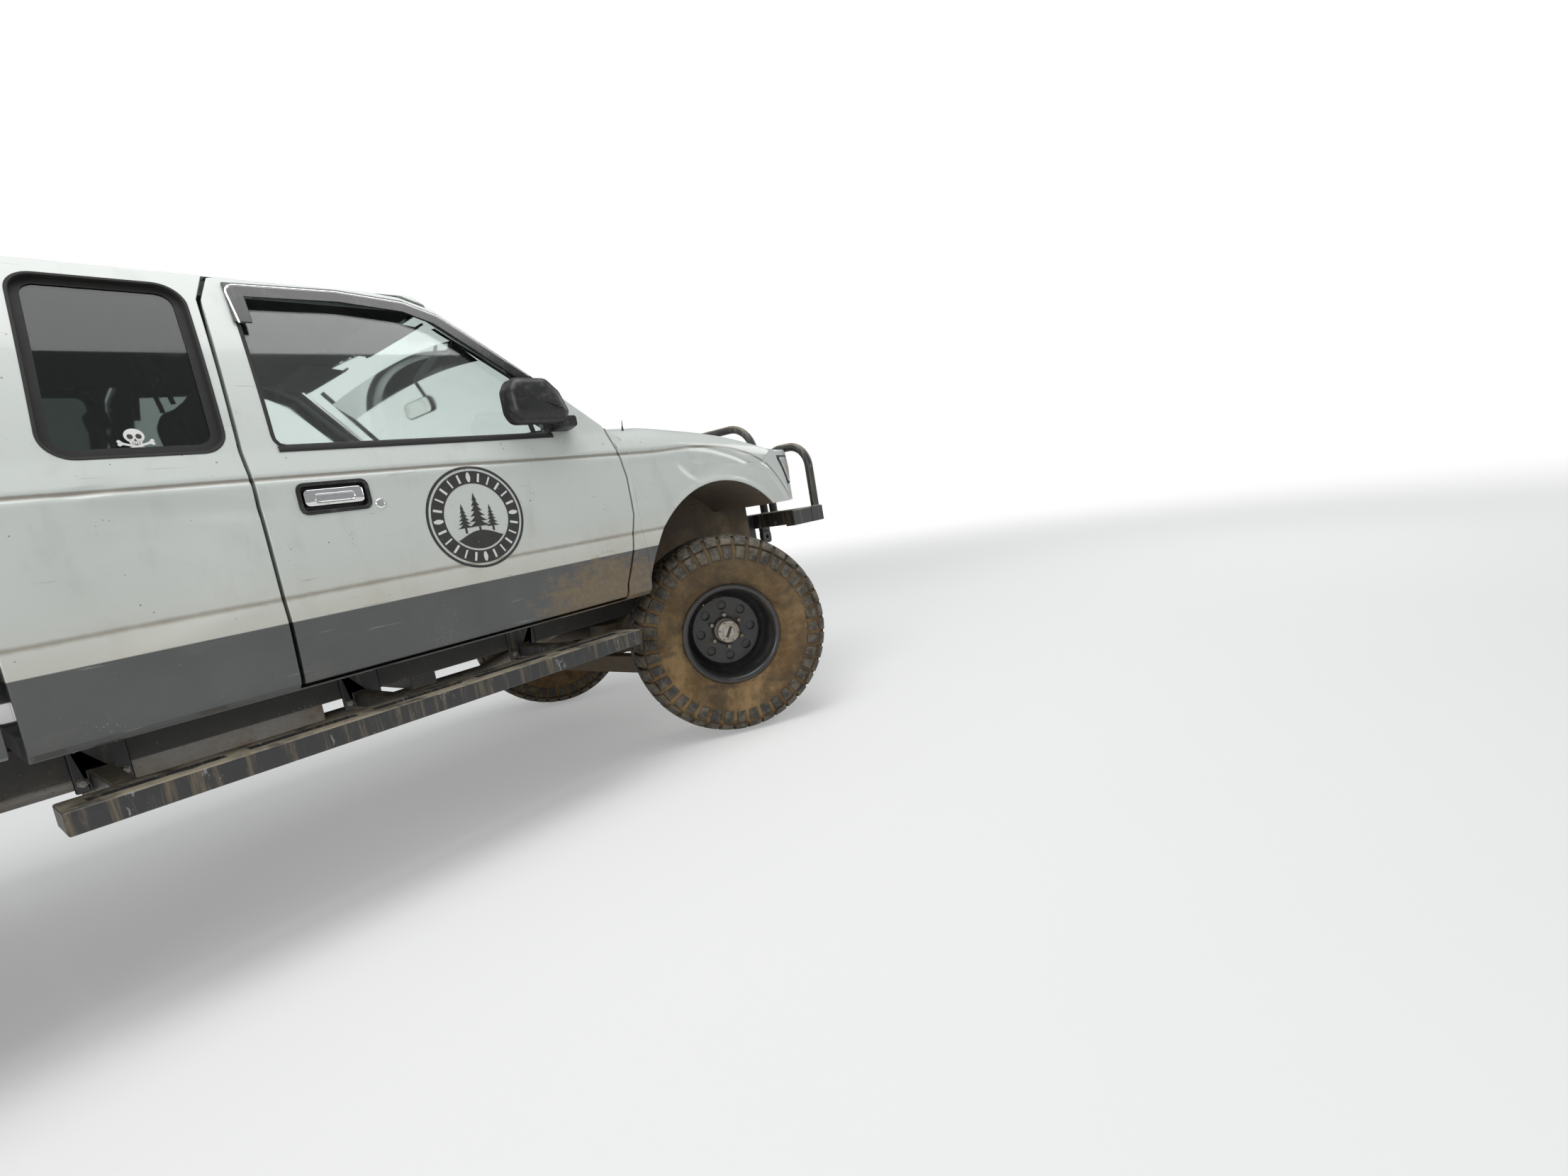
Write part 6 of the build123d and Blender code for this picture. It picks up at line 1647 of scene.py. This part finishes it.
def steering_wheel():
    """Rim with a finger swell, three spokes, horn pad and column shroud."""
    form = Form()
    rake = math.radians(25.0)
    hub = place(-905, 370, 830)
    axis, up = np.array([-math.cos(rake), 0, math.sin(rake)]), np.array([math.sin(rake), 0, math.cos(rake)])
    turn = np.linspace(0, 2 * np.pi, 121)[:-1, None]
    small = np.linspace(0, 2 * np.pi, 17)[None, :-1]
    grip = 13.2 + 0.7 * np.cos(turn * 40)
    radius, out = 176 + grip * np.cos(small), 12 + grip * 0.9 * np.sin(small)
    ways = np.cos(turn)[..., None] * up + np.sin(turn)[..., None] * Y
    form.grid(hub + radius[..., None] / 1000 * ways + out[..., None] / 1000 * axis, (True, True))
    reach, rise = np.linspace(40, 170, 10)[:, None], (14 - 9 * np.sin(np.linspace(0, np.pi, 10)))[:, None]
    for angle in np.radians((100, 260, 180)):
        way = math.cos(angle) * up + math.sin(angle) * Y
        form.bar(hub + reach / 1000 * way + rise / 1000 * axis, soft_box(30, 11, 5, 3), axis)
    form.turned([(0.5, 33), (30, 32), (54, 27), (60, 20), (60, 6), (54, 0), (30, -8)], hub, axis, 40)
    form.bar(hub + np.linspace(-6, -168, 8)[:, None] / 1000 * axis, ring(44, 24), Y, np.linspace(0.8, 1.25, 8))
    form.piece("steering_skin", rubber("wheel_grip", 0.012), "cabin_trim", 40.0, replaces=("steering_wheel",))


def visors(dark):
    """Sun visors on their rods, and grab handles on the pillars."""
    form = Form()
    lining = dark_plastic("visor_cloth", 0.13, 0.95)
    u, v = surface_at(16, 30)
    swell = 9.0 * (np.clip(1 - np.abs(2 * u - 1) ** 6, 0, 1) * np.clip(1 - np.abs(2 * v - 1) ** 6, 0, 1)) ** 0.4
    for letter, side in SIDES:
        for way in (1, -1):
            visor = place(-1000 - 150 * u, side * (110 + 400 * v), 1298 + 18 * u + way * swell)
            form.grid(visor, flip=way < 0)
        form.bar(place(-1004, side * np.linspace(90, 540, 5), 1302), ring(4, 10))
        form.piece("sun_visor_" + letter, lining, "cabin_trim", 50.0, merge=0.0005)
        run = [screen_point(up, side * y, -deep) for up, y, deep in
               ((95, 628, 40), (95, 604, 95), (265, 560, 95), (265, 588, 40))]
        form.bar(even(bend(run, 0.03, 8), 40), ring(9.0, 12, 0.8), X)
        form.piece("grab_handle_" + letter, dark, "cabin_trim", 50.0)


def inner_mirror(dark):
    """Mirror on a bent stalk under the windscreen."""
    form = Form()
    loop = closed_loop([(-118, -30), (118, -30), (112, 34), (-112, 34)], 26.0, 0.0, 64)
    centre = screen_point(340, 0.0, -105)
    c, n = math.cos(0.18), math.sin(0.18)
    lean, rise = np.array([-c, 0, -n]), np.array([-n, 0, c])
    sized = lambda size, deep: centre + (size * (loop @ np.stack([Y, rise])) + deep * lean) / 1000
    shell = ((0.02, 0), (0.90, 0), (0.96, 0), (1.0, -4), (1.0, -12), (0.90, -24), (0.6, -32), (0.02, -34))
    form.loops([sized(size, deep) for size, deep in shell])
    stalk = [centre - 0.028 * lean, centre - 0.05 * lean + 0.04 * rise, screen_point(392, 0.0, -14)]
    form.bar(even(bend(stalk, 0.015, 5), 14), ring(7, 12), Y)
    form.piece("inner_mirror", dark, "cabin_trim", 34.0)
    form.loops([sized(size, 1) for size in (0.90, 0.5, 0.01)])
    form.piece("inner_mirror_glass", chrome(), "bright_trim", 20.0)


def screen_trim(dark):
    """Windscreen's black border and tint band, and its wipers on their arms."""
    form = Form()
    up = np.linspace(-70, 560, 60)
    edge = np.interp(up, (-70, 560), (716, 520))
    for side in (-1, 1):
        form.grid(np.stack([screen_point(up, side * (edge - inset), -5.2) for inset in (-6, 26)]))
    y = np.linspace(-716, 716, 60)
    form.grid(np.stack([screen_point(up, y, -5.2) for up in (-62, -22)]))
    form.piece("screen_border", dark, "black_plastic", 20.0, merge=0.0)
    y = np.linspace(-540, 540, 60)
    form.grid(np.stack([screen_point(up, y, -12.6) for up in (392, 420, 450, 500)]))
    form.piece("screen_band", glazing("tint_band", 0.10, 0.42, 0.30, 0.05), "clear_glass", 20.0, merge=0.0)
    for foot, tip in ((-560, 40), (20, 600)):
        arm = [screen_point(*spot) for spot in ((-78, foot, 4), (-66, foot + 30, 12), (-40, (foot + tip) / 2, 13))]
        form.bar(even(arm, 14), soft_box(11, 5, 2))
        up = -40 + 10 * np.sin(np.linspace(0, np.pi, 30))
        form.bar(screen_point(up, np.linspace(foot + 70, tip, 30), 3.5), soft_box(7, 9, 1.5))
        form.turned([(13, -6), (13, 3), (9, 7), (0.5, 8)], screen_point(-78, foot, 2), (0.6, 0, 0.8), 20)
    form.piece("wipers", dark, "black_plastic", 34.0)


class PICKUP_OT_cabin(bpy.types.Operator):
    """Dashboard with hood, vents, dials and glove box; steering wheel; sun visors; mirror; grab handle; door cards"""

    bl_idname = "pickup.cabin"
    bl_label = "Cabin"

    def execute(self, context):
        plastic, dark = dark_plastic("dash_plastic", 0.045, 0.6), dark_plastic("dash_dark", 0.012, 0.4)
        dashboard(plastic, dark)
        steering_wheel()
        visors(dark)
        inner_mirror(dark)
        screen_trim(dark)
        # Door cards: arm rest, and window winder with its knob
        form = Form()
        for letter, side in SIDES:
            rise = 16 * np.sin(np.linspace(0, np.pi, 20))
            form.bar(place(np.linspace(-1500, -960, 20), side * 748, 630 + rise), soft_box(54, 46, 16, 4))
            winder = place([-1060, -1060, -1150], side * np.array([770, 744, 738]), [560, 560, 590])
            form.bar(even(winder, 12), soft_box(18, 10, 4), (0, 1, 0.2))
            form.turned([(13, 0), (12, 24), (8, 28), (0.5, 29)], place(-1148, side * 738, 590), -side * Y, 20)
            form.piece("door_card_" + letter, plastic, "cabin_trim", 34.0, "door_" + letter)
        return {"FINISHED"}


# Nodes that only get rolled edges: node, name of the skin, finish, slot, radius of the edges in metres
ROLLED = (
    ("sliders", "slider_skin", "bars", "black_steel", 0.005),
    ("rear_bumper", "rear_bumper_skin", "bars", "black_steel", 0.006),
    ("chassis_frame", "frame_skin", "frame", "black_steel", 0.004),
    ("leaf_springs", "spring_skin", "iron", "dull_steel", 0.003),
    ("fuel_tank", "tank_skin", "pipe", "dull_steel", 0.018),
    ("gearbox", "gearbox_skin", "iron", "cast_metal", 0.010),
    ("engine_block", "engine_skin", "iron", "cast_metal", 0.012),
    ("front_suspension", "arms_skin", "iron", "cast_metal", 0.003),
    ("exhaust", "exhaust_skin", "pipe", "dull_steel", 0.004),
    ("radiator", "radiator_skin", "radiator", "dull_steel", 0.006),
)
# Right half of the rear axle's section (radius, across), and its cover's (radius, along)
AXLE = [(145, 0), (133, 60), (104, 110), (60, 150), (42, 200), (42, 560), (46, 600), (62, 632), (140, 640),
        (140, 688), (53, 690), (53, 738), (0.5, 738)]
COVER = [(104, -96), (118, -104), (118, -112), (104, -116), (70, -138), (30, -150), (0.5, -152)]
# Dampers, front and rear: lower and upper end (s, y, h), and the section (radius, along), with n for the length
DAMPERS = (
    ((-6.0, 520, -120.0), (-6.0, 452, 235.0),
     lambda n: [(0.5, -22), (14, -22), (14, -8), (24, -4), (26, 8), (26, 190), (22, 198), (9, 200), (9, n - 14),
                (30, n - 12), (34, n - 6), (34, n + 4), (0.5, n + 6)]),
    ((-3190.0, 545, 20.0), (-3040.0, 425, 300.0),
     lambda n: [(0.5, -16), (13, -16), (13, -4), (25, 0), (27, 10), (27, 150), (22, 158), (8, 160), (8, n - 150),
                (30, n - 148), (30, n - 6), (20, n), (0.5, n + 2)]),
)
DRUM = [(0.5, 0), (120, 0), (135, 6), (135, 24), (138, 26), (135, 28), (135, 52), (128, 60), (40, 66), (14, 66),
        (14, 78), (9, 84), (0.5, 84)]
# Hoses of the engine bay: way, radius, height of the ribs as a share
HOSES = (([(120, 160, 668), (300, 215, 672), (420, 235, 640), (492, 235, 600)], 30, 0.07),
         ([(322, -150, 610), (400, -170, 640), (440, -240, 645), (492, -250, 620)], 21, 0.0))


class PICKUP_OT_steel(bpy.types.Operator):
    """Sliders, frame, rear bumper, axle, engine and driveline with rolled edges; coils, dampers, springs; engine bay"""

    bl_idname = "pickup.steel"
    bl_label = "Steel parts"

    def execute(self, context):
        form = Form()
        finishes = {
            "bars": bar_paint(),
            "frame": plain_paint("frame_paint", 0.035, 0.033, 0.030, 0.6, 0.9, 0.45),
            "iron": cast_steel("cast_iron", 0.16, 0.62, 0.55),
            "pipe": cast_steel("pipe_steel", 0.28, 0.5, 0.8),
            "radiator": plain_paint("radiator_paint", 0.03, 0.03, 0.03, 0.5, 0.4, 0.5),
        }
        iron, yellow = finishes["iron"], plain_paint("damper_paint", 0.30, 0.05, 0.03, 0.45, 0.9, 0.7)
        bolt_steel = cast_steel("bolt_steel", 0.30, 0.45, 0.9)
        for node, name, finish, slot, edge in ROLLED:
            skin(name, node, (finishes[finish],), slot, roll=edge)
        for letter in "lr":
            skin("knuckle_skin_" + letter, "knuckle_" + letter, (iron,), "cast_metal", "steer_" + letter, roll=0.003)

        for letter, side in SIDES:
            # Coil: a helix of wire round the front damper
            low, high = (np.array(end) * (1, side, 1) for end in DAMPERS[0][:2])
            turn = np.linspace(0, 6.5 * 2 * np.pi, 260)
            way = unit(high - low)
            one = unit(np.cross(way, X))
            two = np.cross(way, one)
            wire = low + (high - low) * (turn / turn[-1])[:, None]
            wire = wire + 50 * (np.cos(turn)[:, None] * one + np.sin(turn)[:, None] * two)
            form.bar(place(*wire.T), ring(6.5, 10), way)
            form.piece("coil_" + letter, finishes["frame"], "black_steel", 60.0)
            for low, high, section in DAMPERS:
                low, high = np.array(low) * (1, side, 1), np.array(high) * (1, side, 1)
                form.turned(section(float(np.linalg.norm(high - low))), place(*low), unit(high - low), 28)
            form.piece("damper_" + letter, yellow, "black_steel", 34.0)

            for leaf in range(5):
                half = 560 - 95 * leaf
                s = np.linspace(-half, half * 0.92, 30)
                form.bar(place(REAR_S + s, side * 470, 83.5 + 0.00030 * s * s - 7.4 * leaf), soft_box(60, 6.6, 2, 2))
            for s in (REAR_S - 42, REAR_S + 42):
                for y in (436, 504):
                    form.bar(place(s, side * y, np.linspace(-52, 112, 6)), ring(7, 10), X)
                form.bar(place(s, side * np.linspace(432, 508, 4), 108), soft_box(22, 9, 2, 2))
            form.piece("leaf_pack_" + letter, iron, "dull_steel", 34.0)

        # Rear axle: tube with welded ends, ribbed cover and its bolts
        middle = place(REAR_S, 0, 0)
        form.turned([(r, -across) for r, across in AXLE[:0:-1]] + AXLE, middle, Y, 48)
        form.turned(COVER, middle, X, 40)
        for angle in np.arange(10) * np.pi / 5:
            spot = place(REAR_S - 112, 110 * math.sin(angle), 110 * math.cos(angle))
            form.turned([(8, 8), (8, -3), (6.5, -5), (0.5, -5.5)], spot, X, 6)
        form.piece("axle_skin", iron, "cast_metal", 34.0, replaces=("rear_axle",))

        # Grille mesh behind the bars, antenna stub and number plate blank
        for y in np.linspace(-416, 416, 44):
            form.bar(place(668, y, np.linspace(602, 713, 3)), soft_box(3, 6, 1, 1), X)
        form.piece("grille_slats", dark_plastic("grille_plastic", 0.02, 0.45), "grille_black", 34.0)
        form.turned([(15, -12), (15, 0), (13, 4), (7, 9), (6, 26), (4.6, 28), (4.6, 33), (0.4, 34)],
                    place(-430, -775, 884), (-0.1, -0.25, 1), 24)
        form.piece("antenna_stub", dark_plastic("stub_black", 0.012, 0.4), "black_plastic", 30.0)
        loop = closed_loop(box_rows(-152, 152, -76, 76), 12.0, 0.0, 48)
        form.loops([place(-4296 - w, loop[:, 0] * k, 275 + loop[:, 1] * 0.58 * k)
                    for w, k in ((-1, 1.0), (1.2, 1.0), (1.6, 0.985), (1.2, 0.95), (1.2, 0.02))])
        form.piece("plate_blank", plain_paint("plate_paint", 0.55, 0.55, 0.53, 0.45, 0.8, 0.8), "white_paint", 25.0)

        # Engine bay: ribbed valve cover, air cleaner, fan shroud and hoses
        form.bar(place(np.linspace(-300, 190, 16), -85, 668), soft_box(150, 74, 22, 5))
        for s in np.linspace(-275, 165, 6):
            form.bar(place(s, np.linspace(-145, -25, 6), 705), soft_box(9, 9, 3, 2))
            for y in (-148, -22):
                form.turned([(9, 0), (9, 5), (6, 7), (0.5, 7)], place(s + 20, y, 698), Z, 6)
        form.piece("valve_cover", cast_steel("cover_alloy", 0.42, 0.45, 0.8), "cast_metal", 34.0)
        form.turned(DRUM, place(20, 112, 640), Z, 48)
        form.turned([(205, 0), (205, -38), (198, -44), (190, -38), (190, 0)], place(490, 0, 450), X, 48)
        form.piece("air_cleaner", dark_plastic("cleaner_black", 0.02, 0.45), "black_plastic", 34.0)
        for way, radius, ribs in HOSES:
            path = even(bend(place(*np.array(way, float).T), 0.06, 8), 60)
            form.bar(path, ring(radius, 20), Z, 1 + ribs * np.cos(np.arange(60) * np.pi))
        form.piece("bay_hoses", rubber("hose_rubber", 0.02), "tyre_rubber", 60.0)

        # Bolts of the sliders' brackets
        for s in (-800, -1400, -2050):
            for side in (-1, 1):
                for along in (-42, 42):
                    for h in (112, 205):
                        form.turned([(13, 0), (13, 2), (10, 2.2), (9.6, 9), (7, 10), (0.5, 10.2)],
                                    place(s + along, side * 386.5, h), side * Y, 6)
        form.piece("slider_bolts", bolt_steel, "dull_steel", 20.0)
        return {"FINISHED"}


def colour(label, text, default):
    """A colour setting."""
    return bpy.props.FloatVectorProperty(name=label, description=text, subtype="COLOR", default=default,
                                         min=0.0, max=1.0)


def share(label, text, default):
    """A setting from 0 to 1."""
    return bpy.props.FloatProperty(name=label, description=text, subtype="FACTOR", default=default, min=0.0, max=1.0)


class PICKUP_PG_paint(bpy.types.PropertyGroup):
    """Colours of the body"""

    # The white's slight green tint is painted reflection of foliage
    body: colour("Body", "Colour of the upper body", (0.60, 0.63, 0.60))
    lower: colour("Lower body", "Colour below the two-tone edge", (0.050, 0.052, 0.052))
    clear_coat: share("Clear coat", "Gloss left in the paint", 0.75)


class PICKUP_PG_dirt(bpy.types.PropertyGroup):
    """Clay on the tyres"""

    clay: colour("Wet clay", "Darker clay in the grooves", (0.14, 0.080, 0.030))
    dry_clay: colour("Dry clay", "Paler dried clay", (0.32, 0.205, 0.090))
    amount: share("Amount", "Share of the tyre that clay covers", 0.9)


class PICKUP_PG_tyre(bpy.types.PropertyGroup):
    """Sizes of the tyre tread"""

    pitches: bpy.props.IntProperty(name="Pitches", description="Repeats of the tread pattern", default=20,
                                   min=12, max=40)
    tread_depth: bpy.props.FloatProperty(name="Tread depth", description="Height of the tread blocks",
                                         subtype="DISTANCE", unit="LENGTH", default=0.014, min=0.004, max=0.02)


class PICKUP_PG_stage(bpy.types.PropertyGroup):
    """Light of the stage"""

    lamps: bpy.props.FloatProperty(name="Lamps", description="Power of the studio lamps", unit="POWER", default=165.0,
                                   min=0.0)
    sky: bpy.props.FloatProperty(name="Sky", description="Strength of the surrounding light", default=0.36, min=0.0)


GROUPS = (("pickup_paint", PICKUP_PG_paint), ("pickup_dirt", PICKUP_PG_dirt), ("pickup_tyre", PICKUP_PG_tyre),
          ("pickup_stage", PICKUP_PG_stage))


OPERATORS = (
    PICKUP_OT_stage,
    PICKUP_OT_floors,
    PICKUP_OT_glass,
    PICKUP_OT_skins,
    PICKUP_OT_tyres,
    PICKUP_OT_rims,
    PICKUP_OT_lamps,
    PICKUP_OT_bumper,
    PICKUP_OT_mirrors,
    PICKUP_OT_handles,
    PICKUP_OT_window_trim,
    PICKUP_OT_stickers,
    PICKUP_OT_seats,
    PICKUP_OT_cabin,
    PICKUP_OT_steel,
)


class PICKUP_PT_panel(bpy.types.Panel):
    """Lists the pickup's settings and pieces"""

    bl_idname = "PICKUP_PT_panel"
    bl_label = "Pickup"
    bl_space_type = "VIEW_3D"
    bl_region_type = "UI"
    bl_category = "Pickup"

    def draw(self, context):
        for name, group in GROUPS:
            box = self.layout.box()
            for field in group.__annotations__:
                box.prop(getattr(context.scene, name), field)
        for operator in OPERATORS:
            self.layout.operator(operator.bl_idname)


def register():
    for kind in (*(group for _, group in GROUPS), *OPERATORS, PICKUP_PT_panel):
        bpy.utils.register_class(kind)
    for name, group in GROUPS:
        setattr(bpy.types.Scene, name, bpy.props.PointerProperty(type=group))


def unregister():
    for name, _ in GROUPS:
        delattr(bpy.types.Scene, name)
    for kind in reversed((*(group for _, group in GROUPS), *OPERATORS, PICKUP_PT_panel)):
        bpy.utils.unregister_class(kind)


def main():
    register()
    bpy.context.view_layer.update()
    for operator in OPERATORS:
        family, name = operator.bl_idname.split(".")
        getattr(getattr(bpy.ops, family), name)()


if __name__ == "__main__":
    main()
